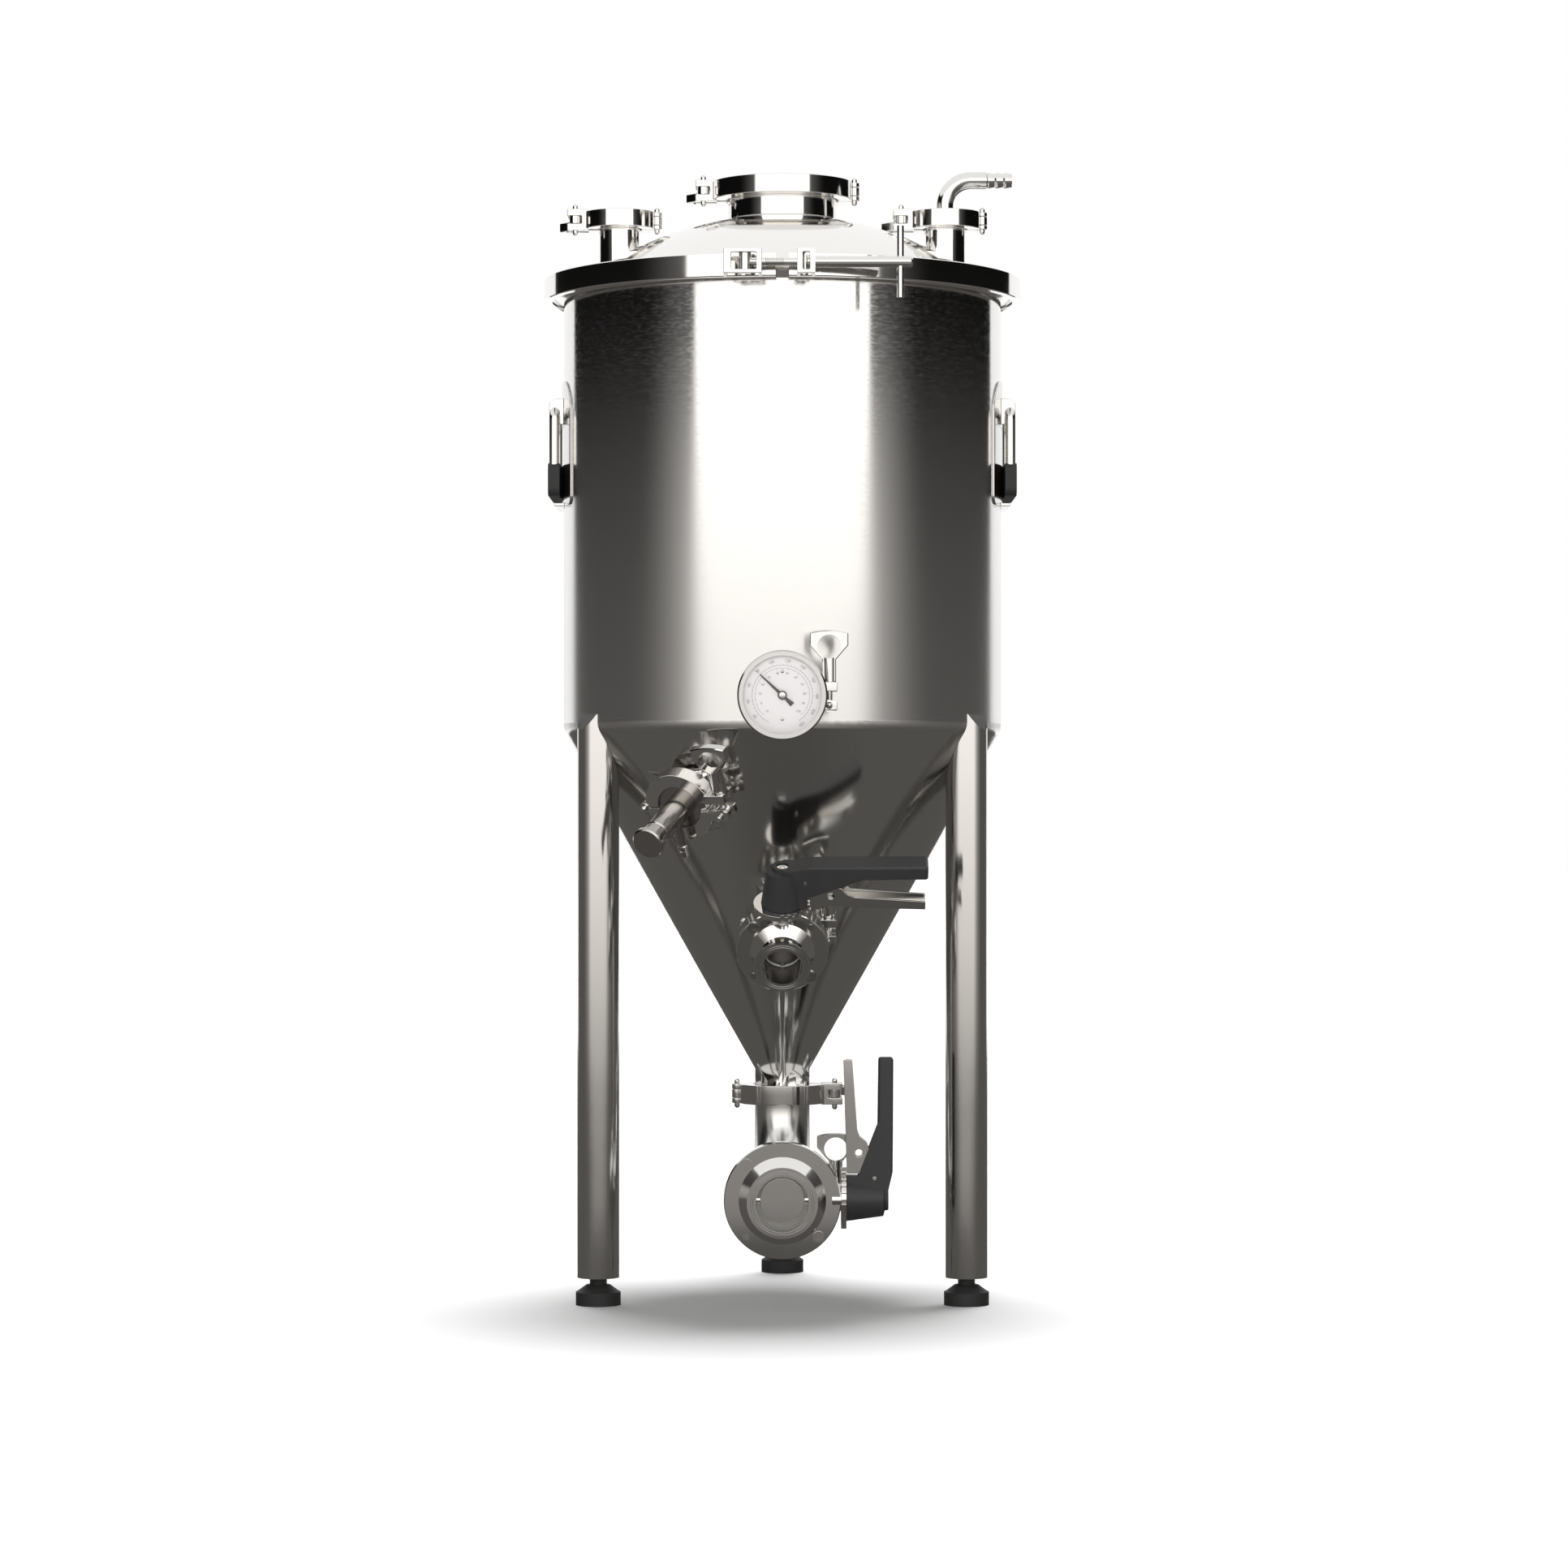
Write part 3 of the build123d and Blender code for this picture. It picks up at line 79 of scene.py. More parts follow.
# %% Places on the tank
UP, BACK, FRONT, RIGHT = Vector((0, 0, 1)), Vector((0, 1, 0)), Vector((0, -1, 0)), Vector((1, 0, 0))
CONE_ANGLE = 29.5  # the cone's half angle, by which the racking valve's axis falls too
CONE_TILT = math.radians(CONE_ANGLE)
CONE_FOOT_R, CONE_FOOT_Z = 25.4 * MM, 210 * MM
SAMPLE_AZIMUTH, SAMPLE_Z, RACKING_Z = -28, 468 * MM, 359 * MM
LID_PORT_X = 152 * MM


def middle(node):
    low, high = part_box(node)
    return (low + high) / 2


def around(degrees):
    """Outward level direction at an azimuth from the front."""
    return Vector((math.sin(math.radians(degrees)), -math.cos(math.radians(degrees)), 0))


def up_slope(degrees):
    return around(degrees) * math.sin(CONE_TILT) + UP * math.cos(CONE_TILT)


def out_of_slope(degrees):
    return around(degrees) * math.cos(CONE_TILT) - UP * math.sin(CONE_TILT)


def cone_radius(height):
    return CONE_FOOT_R + (height - CONE_FOOT_Z) * math.tan(CONE_TILT)


def cone_point(degrees, height):
    return around(degrees) * cone_radius(height) + UP * height


racking_mouth = cone_point(0, RACKING_Z)
outlet_z = middle("dump_valve_outer").z
print("outlet axis", round(outlet_z, 4), "racking port", [round(v, 4) for v in racking_mouth])


# %% [markdown]
# ## Camera
# A long lens far away keeps a tall vessel's sides upright. The camera looks level from a little
# below the middle of the tank, and a small upward shift frames the lid without tilting, because a
# tilt would make the legs lean.

# %% Camera
CAMERA_DISTANCE, CAMERA_HEIGHT, LENS = 4.090, 0.446, 100.44
SHIFT_RIGHT, SHIFT_UP = 0.00105, 0.0204
bpy.ops.object.camera_add(
    location=(0, -CAMERA_DISTANCE, CAMERA_HEIGHT), rotation=(math.pi / 2, 0, 0))
camera = bpy.context.object
camera.name = "camera"
camera.data.sensor_width = 36
camera.data.lens = LENS
camera.data.shift_x = SHIFT_RIGHT
camera.data.shift_y = SHIFT_UP
camera.data.clip_end = 60
bpy.context.scene.camera = camera
print(camera.name, LENS, "mm lens at", CAMERA_DISTANCE, "m")


# %% [markdown]
# ## Writing shaders as sums
# A node graph built by hand is hard to read back. A small class wraps a node's output and gives it
# the usual operators, so that a pattern can be written as an expression.

# %% Wires that can be added and multiplied
class Wire:
    """One output of a node, with operators that add Math nodes."""

    def __init__(self, recipe, socket):
        self.recipe, self.socket = recipe, socket

    def combine(self, operation, first, second):
        return self.recipe.node("ShaderNodeMath", {"operation": operation}, {0: first, 1: second})

    def __add__(self, other):
        return self.combine("ADD", self, other)

    def __sub__(self, other):
        return self.combine("SUBTRACT", self, other)

    def __rsub__(self, other):
        return self.combine("SUBTRACT", other, self)

    def __mul__(self, other):
        return self.combine("MULTIPLY", self, other)

    def __truediv__(self, other):
        return self.combine("DIVIDE", self, other)

    def __pow__(self, other):
        return self.combine("POWER", self, other)

    __radd__ = __add__


# %% [markdown]
# ## Writing node trees
# Every node needs the same three things: its settings, what goes into it and which output is used.
# One method does all three, and a few short ones on top of it make the nodes that come up again and
# again. Patterns read the object's own coordinates, so they stay on a piece when it moves.

# %% A node tree as a recipe
class Recipe:
    """A node tree that is being written."""

    def __init__(self, tree):
        self.tree = tree

    def node(self, kind, settings=None, inputs=None, output=0):
        made = self.tree.nodes.new(kind)
        for name, value in (settings or {}).items():
            if name == "stops":
                self.set_stops(made.color_ramp, value)
            else:
                setattr(made, name, value)
        for name, value in (inputs or {}).items():
            self.feed(made.inputs[name], value)
        return Wire(self, made.outputs[output])

    def feed(self, socket, value):
        if isinstance(value, Wire):
            self.tree.links.new(value.socket, socket)
        else:
            socket.default_value = value

    def set_stops(self, ramp, stops):
        while len(ramp.elements) < len(stops):
            ramp.elements.new(0.5)
        for element, (place, level) in zip(ramp.elements, stops):
            element.position = place
            element.color = (*level, 1) if isinstance(level, tuple) else (level, level, level, 1)

    def place(self, scale):
        """Object coordinates, scaled for a pattern; one number scales all three."""
        where = self.node("ShaderNodeTexCoord", output="Object")
        scale = scale if isinstance(scale, tuple) else (scale, scale, scale)
        return self.node("ShaderNodeMapping", inputs={"Vector": where, "Scale": scale})

    def axes(self):
        """Object coordinates as three separate wires."""
        where = self.node("ShaderNodeTexCoord", output="Object")
        parts = self.node("ShaderNodeSeparateXYZ", inputs={0: where}).socket.node.outputs
        return [Wire(self, part) for part in parts]

    def noise(self, scale, detail):
        """Noise in the object's coordinates; the scale counts features to the metre."""
        return self.node("ShaderNodeTexNoise", inputs={
            "Vector": self.place(scale), "Scale": 1.0, "Detail": detail, "Roughness": 0.5})

    def bump(self, height, strength, depth):
        return self.node("ShaderNodeBump", inputs={
            "Strength": strength, "Distance": depth, "Height": height})

    def ramp(self, value, stops):
        return self.node("ShaderNodeValToRGB", {"stops": stops}, {"Fac": value})

    def blend(self, factor, first, second):
        """A colour between two colours."""
        return self.node("ShaderNodeMix", {"data_type": "RGBA"}, {
            "Factor": factor, 6: first, 7: second}, output=2)


# %% [markdown]
# ## Starting and finishing a material
# Most finishes are one Principled shader. A material starts with its fixed values, such as how
# metallic it is, and ends with the wires that vary over the piece.

# %% Materials
def material(name, **values):
    """A new material with the given values on its Principled shader."""
    made = bpy.data.materials.new(name)
    made.use_nodes = True
    recipe = Recipe(made.node_tree)
    recipe.material = made
    recipe.shader = made.node_tree.nodes["Principled BSDF"]
    for socket, value in values.items():
        recipe.shader.inputs[socket.replace("_", " ")].default_value = value
    return recipe


def finish_with(recipe, **wires):
    for name, wire in wires.items():
        recipe.feed(recipe.shader.inputs[name.replace("_", " ")], wire)
    return recipe.material


def smooth(recipe, value, low, high):
    """0 at low and 1 at high, with an S-shaped rise between."""
    return recipe.node("ShaderNodeMapRange", {"interpolation_type": "SMOOTHSTEP"}, {
        "Value": value, "From Min": low, "From Max": high})


def rgb(red, green, blue):
    return (red, green, blue, 1)


# %% [markdown]
# ## Steel
# Stainless sheet is drawn between rollers and then brushed, so its scratches all run one way: here
# round the tank. A noise that is squeezed hard along the height gives such streaks. They change the
# roughness and tilt the surface a little, and the highlight spreads across the grain, which is what
# the anisotropy does. Towards the rim the sheet is shinier, and fine specks take over.

# %% Brushed steel
RELIEF = 0.1 * MM  # depth that a scratch of full strength would have


def brushed_steel():
    """Rolled sheet, shinier towards the top, where fine specks break the dark reflections."""
    recipe = material("brushed_steel", Metallic=1.0, Anisotropic=0.55, Anisotropic_Rotation=0.25)
    height = recipe.axes()[2]
    upper = recipe.ramp(height, [(0.60, 0.0), (0.90, 1.0)])
    streaks = recipe.noise((9, 9, 420), detail=1)
    specks = recipe.noise((150, 150, 520), detail=2)
    specks = recipe.ramp(specks, [(0.42, 0.0), (0.70, 1.0)]) * upper
    clouds = recipe.noise((5, 5, 9), detail=2)
    tone = streaks * 0.5 + specks * 0.18
    bump = recipe.bump(tone, 0.012, RELIEF)
    colour = recipe.blend(tone, rgb(0.81, 0.80, 0.785), rgb(0.845, 0.835, 0.82))
    rough = 0.235 - upper * 0.165 + streaks * 0.02 + specks * 0.085 + clouds * 0.03
    return finish_with(recipe, Base_Color=colour, Roughness=rough, Normal=bump)


# %% [markdown]
# ## Polished steel
# Fittings are buffed, which leaves hairlines too fine to see one by one and a slightly uneven shine.
# Two places get a second tone on the same piece, and both are painted light and shade: the inside
# of the racking valve's bore is painted dark and dull, as shade in the hollow, and the cone just
# below its seam is painted lighter and made rougher, so that the bright reflection of the shell
# runs on over the bend. A mask made with maths blends them in, which moves with the piece and needs
# no painted picture.

# %% Polished steel and its masks
def polished_steel(name, colour, roughness, spread=0.05, painted_area=None):
    """Buffed steel; painted light or shade, where given, is a 0 to 1 mask, its colour and its added
    roughness.
    """
    recipe = material(name, Metallic=1.0)
    clouds = recipe.noise(22, detail=4)
    hairlines = recipe.noise((400, 400, 1500), detail=2)
    bump = recipe.bump(hairlines, 0.03, RELIEF)
    shade = recipe.blend(clouds, rgb(*[c * 0.95 for c in colour]), rgb(*colour))
    rough = roughness + clouds * spread
    if painted_area:
        make_mask, painted_colour, duller = painted_area
        mask = make_mask(recipe)
        shade = recipe.blend(mask, shade, rgb(*painted_colour))
        rough = rough + mask * duller
    return finish_with(recipe, Base_Color=shade, Roughness=rough, Normal=bump)


RACKING_BORE_R, BORE_EDGE = 17.5 * MM, 0.6 * MM
SEAM_FADE_START, SEAM_FADE_END = 3 * MM, 9 * MM


def in_racking_bore(recipe):
    """A mask that is 1 inside the racking valve's bore, where it paints shade into the hollow."""
    x, y, z = recipe.axes()
    rise = (z - racking_mouth.z) * math.cos(CONE_TILT) - (y - racking_mouth.y) * math.sin(CONE_TILT)
    away = (x * x + rise * rise) ** 0.5
    return smooth(recipe, away, RACKING_BORE_R, RACKING_BORE_R - BORE_EDGE)


def under_seam(recipe):
    """A mask that is 1 at the seam between cylinder and cone and fades out below it; there it paints
    the cone lighter, a painted highlight over the bend, and makes it rougher.
    """
    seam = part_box("tank_cone")[1].z
    return smooth(recipe, recipe.axes()[2], seam - SEAM_FADE_END, seam - SEAM_FADE_START)


# %% [markdown]
# ## Plastic, rubber and silicone
# Moulded handles have a fine spark-eroded texture that softens the highlight. Rubber is duller and
# softer still. Both come from a small noise on the bump, at the size of the real grain.

# %% Soft and moulded finishes
def moulded(name, dark, light, roughness, grain, depth):
    recipe = material(name)
    fine = recipe.noise(grain, detail=3)
    clouds = recipe.noise(35, detail=3)
    bump = recipe.bump(fine, 0.25, depth)
    colour = recipe.blend(clouds, rgb(*dark), rgb(*light))
    return finish_with(recipe, Base_Color=colour, Roughness=roughness + clouds * 0.12, Normal=bump)


# %% [markdown]
# ## Glass over the dial
# A real pane bends the light twice and hides almost nothing. Glass that bends light makes a render
# slow and noisy, so this one is plain transparent, with a sharp reflection that grows towards the
# edge of the view, as it does on any pane.

# %% Clear glass
def clear_glass():
    recipe = material("clear_glass")
    clear = recipe.node("ShaderNodeBsdfTransparent", inputs={"Color": rgb(0.99, 0.99, 0.99)})
    gloss = recipe.node("ShaderNodeBsdfGlossy", inputs={"Roughness": 0.03})
    facing = recipe.node("ShaderNodeLayerWeight", inputs={"Blend": 0.5}, output="Facing")
    mirrored = facing ** 5 * 0.9 + 0.04
    mixed = recipe.node("ShaderNodeMixShader", inputs={0: mirrored, 1: clear, 2: gloss})
    output = recipe.tree.nodes["Material Output"]
    recipe.tree.links.new(mixed.socket, output.inputs["Surface"])
    return recipe.material


# %% [markdown]
# ## The list of finishes
# Each fitting takes its polish a little differently, so the steels differ in roughness and share
# one recipe. They differ in tone as well, and the darker tones of the cone and the sample valve are
# painted shade. The numbers of a steel are its colour and its roughness; those of a plastic are
# its darkest and lightest colour, its roughness, the grain to the metre and the depth of the grain.

# %% Every finish
STEEL_COLOUR = (0.80, 0.79, 0.77)
finishes = {
    "brushed_shell": brushed_steel(),
    "polished_steel": polished_steel("polished_steel", STEEL_COLOUR, 0.07),
    "satin_steel": polished_steel("satin_steel", (0.76, 0.75, 0.73), 0.12),
    "lid_steel": polished_steel("lid_steel", (0.92, 0.90, 0.875), 0.06),
    # The racking valve's steel is painted dark and dull inside its bore: painted shade.
    "racking_steel": polished_steel(
        "racking_steel", STEEL_COLOUR, 0.08,
        painted_area=(in_racking_bore, (0.13, 0.125, 0.12), 0.25)),
    # The cone's steel is darker than the shell's as painted shade; below its seam a lighter band is
    # painted.
    "cone_steel": polished_steel(
        "cone_steel", (0.74, 0.73, 0.71), 0.10, painted_area=(under_seam, (0.84, 0.83, 0.81), 0.22)),
    "elbow_steel": polished_steel("elbow_steel", (0.78, 0.77, 0.75), 0.20),
    # The sample valve's darker steel is painted shade, for the dark reflections on its barrel.
    "sample_steel": polished_steel("sample_steel", (0.52, 0.50, 0.48), 0.15),
    "bezel_steel": polished_steel("bezel_steel", (0.60, 0.59, 0.58), 0.14),
    "screw_steel": polished_steel("screw_steel", (0.60, 0.59, 0.57), 0.16),
    "handle_plastic": moulded(
        "handle_plastic", (0.019, 0.019, 0.020), (0.029, 0.029, 0.030), 0.40, 1400, 0.2 * MM),
    "black_rubber": moulded(
        "black_rubber", (0.012, 0.012, 0.012), (0.022, 0.022, 0.022), 0.52, 1900, 0.2 * MM),
    "white_silicone": moulded(
        "white_silicone", (0.74, 0.74, 0.72), (0.82, 0.82, 0.80), 0.42, 800, 0.1 * MM),
    "dial_glass": clear_glass(),
    "dial_face": moulded(
        "dial_face", (0.80, 0.77, 0.765), (0.82, 0.79, 0.785), 0.45, 2500, 0.05 * MM),
    "pointer_black": moulded(
        "pointer_black", (0.010, 0.010, 0.010), (0.016, 0.016, 0.016), 0.35, 1500, 0.1 * MM),
}
print(len(finishes), "finishes")

# %% [markdown]
# ## Dressing the CAD
# Each node of the CAD names a material slot, which says what it is made of. That picks its finish.
# A few steel pieces look different from the rest, and the start of their name picks a steel of
# their own.

# %% Dress every CAD node
# The cone's and the sample valve's steels carry painted shade, and the racking valve's steel painted
# shade in its bore.
OWN_STEEL = {
    "leg_": "satin_steel", "handle_bracket": "satin_steel",
    "lid_shell": "lid_steel", "port_cap": "lid_steel",
    "lid_band_left": "lid_steel", "lid_band_right": "lid_steel",
    "tank_cone": "cone_steel", "dump_elbow": "elbow_steel", "sample_valve": "sample_steel",
    "valve_bolts": "screw_steel", "thermometer_case": "bezel_steel",
    "racking_valve": "racking_steel", "racking_stem_and_disc": "racking_steel",
}
slots = {entry["node"]: entry["material_slot"] for entry in frame["record"]["subparts"]}
for name, node in nodes.items():
    own = [steel for start, steel in OWN_STEEL.items() if name.startswith(start)]
    node.data.materials.clear()
    node.data.materials.append(finishes[own[0] if own else slots[name]])
print("finishes on", len(nodes), "nodes")


# %% [markdown]
# ## Soft edges
# CAD gives perfectly sharp edges, which no forging or casting has, and a sharp edge never catches a
# reflection. A copy of each such piece is merged into one surface, its flat faces are cleaned of
# their triangles, and a Bevel modifier rounds what is left of the edges. Smooth shading would then
# bend the reflections on the flat faces as well, so Weighted Normal lets the large faces decide. The
# copy stands for the CAD piece, and rides where that piece does.

# %% Round the edges of clamps, brackets and triggers
def body_of(node):
    return nodes[node].parent.name.removeprefix("body:")


def merged_copy(node, ending, flat_within=0.6):
    """A copy of a CAD piece with its doubled vertices merged and its flat faces whole."""
    bpy.ops.object.select_all(action="DESELECT")
    piece = bpy.data.objects.new(node + ending, nodes[node].data.copy())
    bpy.context.collection.objects.link(piece)
    bpy.context.view_layer.objects.active = piece
    piece.select_set(True)
    bpy.ops.object.mode_set(mode="EDIT")
    bpy.ops.mesh.select_all(action="SELECT")
    bpy.ops.mesh.remove_doubles(threshold=2e-6)
    bpy.ops.mesh.dissolve_limited(angle_limit=math.radians(flat_within))
    bpy.ops.object.mode_set(mode="OBJECT")
    return piece


def stand_in(piece, node):
    """The piece is shown in place of the node, on the same body."""
    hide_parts(node)
    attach(piece, body_of(node))
    return piece


def rounded(node, width, segments=2, sharper_than=32):
    """A copy of a CAD piece with its edges rounded; it replaces that piece."""
    piece = merged_copy(node, "_rounded")
    bevel = piece.modifiers.new("edges", "BEVEL")
    bevel.width, bevel.segments = width, segments
    bevel.limit_method, bevel.angle_limit = "ANGLE", math.radians(sharper_than)
    bevel.use_clamp_overlap = False
    bevel.miter_outer = "MITER_ARC"
    bpy.ops.object.modifier_apply(modifier="edges")
    bpy.ops.object.shade_smooth_by_angle(angle=math.radians(50))
    flat = piece.modifiers.new("flat_faces", "WEIGHTED_NORMAL")
    flat.weight, flat.keep_sharp = 100, True
    bpy.ops.object.modifier_apply(modifier="flat_faces")
    return stand_in(piece, node)


EDGE_WIDTHS = {  # in mm
    "clamp_lid_centre": 0.7, "clamps_lid_ports": 0.7, "clamps_outlet": 0.7, "clamps_wall_ports": 0.7,
    "lid_band_brackets": 0.6, "handle_bracket_left": 0.5, "handle_bracket_right": 0.5,
    "racking_trigger": 0.4, "dump_trigger": 0.4, "valve_index_plates": 0.3,
}
for node, width in EDGE_WIDTHS.items():
    softened = rounded(node, width * MM)
    print(softened.name, len(softened.data.polygons), "faces")

# %% [markdown]
# ## The bend between cylinder and cone
# The cone's sheet is rolled over a wide radius where it meets the cylinder, so the light there fades
# from bright to dark. The CAD mesh has only a few rings on that bend, and each shows as a band of
# its own. A Subdivision modifier would smooth it, but it also pulls the sheet off its true shape.
# So only the edges that cross the bend are cut finer, and the new points are moved onto the arc.

# %% Finer rings on the bend
BEND_R, SHEET, BEND_CUTS = 22 * MM, 1.5 * MM, 5
STRAIGHT_RIM, SHORTEST_CROSSING = 0.2 * MM, 1 * MM
bend_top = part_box("tank_cone")[1].z - STRAIGHT_RIM
bend_low = bend_top - BEND_R * math.sin(CONE_TILT)
bend_centre_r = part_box("tank_cone")[1].x - BEND_R


def on_bend(point, slack=0.3 * MM):
    """Which radius of the bend a point belongs to, or None."""
    if not bend_low - slack < point.z < bend_top + slack:
        return None
    far = math.hypot(math.hypot(point.x, point.y) - bend_centre_r, min(point.z - bend_top, 0))
    return BEND_R if far > BEND_R - SHEET / 2 else BEND_R - SHEET


bend = merged_copy("tank_cone", "_smooth_bend", flat_within=0.03)
for polygon in bend.data.polygons:
    polygon.select = False
for vertex in bend.data.vertices:
    vertex.select = False
for edge in bend.data.edges:
    first, last = (bend.data.vertices[index].co for index in edge.vertices)
    crosses = abs(first.z - last.z) > SHORTEST_CROSSING
    edge.select = bool(on_bend(first) and on_bend(first) == on_bend(last) and crosses)
bpy.ops.object.mode_set(mode="EDIT")
bpy.context.tool_settings.mesh_select_mode = (False, True, False)
bpy.ops.mesh.subdivide(number_cuts=BEND_CUTS)
bpy.context.tool_settings.mesh_select_mode = (True, False, False)
bpy.ops.object.mode_set(mode="OBJECT")
for vertex in bend.data.vertices:
    radius = on_bend(vertex.co, 0)
    if radius:
        along_bend = bend_centre_r + math.sqrt(radius ** 2 - (vertex.co.z - bend_top) ** 2)
        vertex.co.xy *= along_bend / math.hypot(vertex.co.x, vertex.co.y)
bpy.ops.object.shade_smooth_by_angle(angle=math.radians(30))
stand_in(bend, "tank_cone")
print(bend.name, len(bend.data.polygons), "faces")


# %% [markdown]
# ## The dial
# A bimetal thermometer has a printed face with two scales: one round the edge that reads outwards,
# and a smaller one inside it. Printing has almost no thickness, but as raised ink it can be real
# geometry, which stays sharp at any distance. Each number is a text object that is turned into a
# mesh, each tick is a stretched cube, and each arc is a thin torus with a gap cut out of it.

# %% Ink, and places on the dial
INK = material("dial_ink", Base_Color=rgb(0.10, 0.10, 0.11), Roughness=0.55)
ink_grain = INK.noise(3000, detail=1)
finish_with(INK, Base_Color=INK.blend(ink_grain, rgb(0.10, 0.10, 0.105), rgb(0.19, 0.19, 0.195)))
face_low, face_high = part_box("thermometer_dial")
dial_centre = Vector((0, face_low.y, (face_low.z + face_high.z) / 2))
INK_THICK = 0.06 * MM
print("dial centre", [round(v, 4) for v in dial_centre])


def on_dial(radius, degrees):
    """A place on the dial's face; degrees run clockwise from the top."""
    turn = math.radians(degrees)
    return dial_centre + Vector((radius * math.sin(turn), -INK_THICK, radius * math.cos(turn)))


def settle(thing, place, degrees=0.0):
    """Stand a flat piece up to face the front, turn it about the dial's axis and put it down."""
    stand = Matrix.Rotation(math.pi / 2, 4, "X")
    turn = Matrix.Rotation(math.radians(degrees), 4, "Y")
    thing.data.transform(Matrix.Translation(place) @ turn @ stand)


# %% [markdown]
# ## Numbers, ticks and arcs
# Every mark is made lying flat at the origin and then stood up on the dial. The helpers take its
# size and its place, so that the scales below read like a plan of the dial.

# %% Numbers, ticks and arcs
def number(value, size, place, degrees=0.0):
    """A number as flat ink."""
    bpy.ops.object.text_add()
    text = bpy.context.object
    text.data.body = str(value)
    text.data.align_x, text.data.align_y = "CENTER", "CENTER"
    text.data.size = size
    text.data.extrude = INK_THICK / 2
    bpy.ops.object.convert(target="MESH")
    settle(bpy.context.object, place, degrees)
    return bpy.context.object


def mark(length, width, place, degrees):
    """A short line along the radius."""
    bpy.ops.mesh.primitive_cube_add(size=1)
    line = bpy.context.object
    line.data.transform(Matrix.Diagonal((width, length, INK_THICK, 1)))
    settle(line, place, degrees)
    return line


def cut_away(thing, unwanted, sides):
    """Delete the vertices whose place is unwanted, and close the holes they leave."""
    bpy.ops.object.mode_set(mode="EDIT")
    bpy.ops.mesh.select_all(action="DESELECT")
    bpy.ops.object.mode_set(mode="OBJECT")
    for vertex in thing.data.vertices:
        vertex.select = unwanted(vertex.co)
    bpy.ops.object.mode_set(mode="EDIT")
    bpy.ops.mesh.delete(type="VERT")
    bpy.ops.mesh.select_all(action="SELECT")
    bpy.ops.mesh.fill_holes(sides=sides)
    bpy.ops.object.mode_set(mode="OBJECT")


ARC_SIDES, ARC_FLATNESS = 6, 0.5


def clockwise(place):
    """Degrees from the top of the dial."""
    return math.degrees(math.atan2(place.x - dial_centre.x, place.z - dial_centre.z))


def arc(radius, width, first, last):
    """A flattened ring round the dial with a gap, which is cut out and closed again."""
    bpy.ops.mesh.primitive_torus_add(
        major_segments=240, minor_segments=ARC_SIDES, major_radius=radius, minor_radius=width / 2)
    ring = bpy.context.object
    settle(ring, dial_centre)
    for vertex in ring.data.vertices:
        vertex.co.y = dial_centre.y + (vertex.co.y - dial_centre.y - width / 4) * ARC_FLATNESS
    cut_away(ring, lambda place: not first <= clockwise(place) <= last, ARC_SIDES)
    return ring


# %% [markdown]
# ## One piece from many
# Some ninety loose ticks and numbers would be hard to handle, so parts of one kind are joined into one
# piece. It gets its finish and the body that it rides on when a joint moves.

# %% Join, dress and attach
def joined(things, name, finish, body):
    """One piece from several, dressed and riding on a body."""
    bpy.ops.object.select_all(action="DESELECT")
    for thing in things:
        thing.select_set(True)
    bpy.context.view_layer.objects.active = things[0]
    if len(things) > 1:
        bpy.ops.object.join()
    piece = bpy.context.object
    piece.name = piece.data.name = name
    piece.data.materials.clear()
    piece.data.materials.append(finish)
    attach(piece, body)
    print(name, len(piece.data.polygons), "faces")
    return piece


# %% [markdown]
# ## The two scales
# The outer scale's numbers stand round the edge and turn with it, and the inner ones stay upright.
# Ticks grow outwards from the outer arc and inwards from the inner one, long at each number. They
# could be drawn as a picture, but then they would blur close up.

# %% Print the two scales
OUTER_ARC, OUTER_NUMBERS, OUTER_START, OUTER_STEP = 26.4 * MM, 30.4 * MM, -127.5, 27.3
INNER_ARC, INNER_NUMBERS, INNER_START, INNER_STEP = 24.0 * MM, 19.6 * MM, -135, 24.55
OUTER_REACH, INNER_REACH = (-155, 145.5), (-135, 135)  # where each arc starts and ends, in degrees
OUTER_LINE, INNER_LINE = 0.26 * MM, 0.22 * MM
OUTER_DIGITS, INNER_DIGITS = 3.6 * MM, 2.9 * MM


def ticks(radius, start, spacing, steps, every, lengths, width):
    """Marks along an arc, long at every so many steps; a negative length points inwards."""
    made = []
    for step in steps:
        turn = start + spacing * step / every
        length = lengths[0 if step % every == 0 else 1] * MM
        made.append(mark(abs(length), width * MM, on_dial(radius + length / 2, turn), turn))
    return made


printed = [arc(OUTER_ARC, OUTER_LINE, *OUTER_REACH), arc(INNER_ARC, INNER_LINE, *INNER_REACH)]
for step in range(11):
    turn = OUTER_START + OUTER_STEP * step
    printed.append(number(20 + 20 * step, OUTER_DIGITS, on_dial(OUTER_NUMBERS, turn), turn))
for step in range(12):
    turn = INNER_START + INNER_STEP * step
    printed.append(number(-10 + 10 * step, INNER_DIGITS, on_dial(INNER_NUMBERS, turn)))
printed += ticks(OUTER_ARC, OUTER_START, OUTER_STEP, range(-2, 41), 4, (2.3, 1.2), 0.2)
printed += ticks(INNER_ARC, INNER_START, INNER_STEP, range(23), 2, (-1.7, -0.9), 0.18)
joined(printed, "dial_print", INK.material, "tank")

# %% [markdown]
# ## The dial's rivets
# Two small rivets hold the printed face in its case. Each is a ball that is cut through and
# flattened, because a rivet's head is a shallow dome.

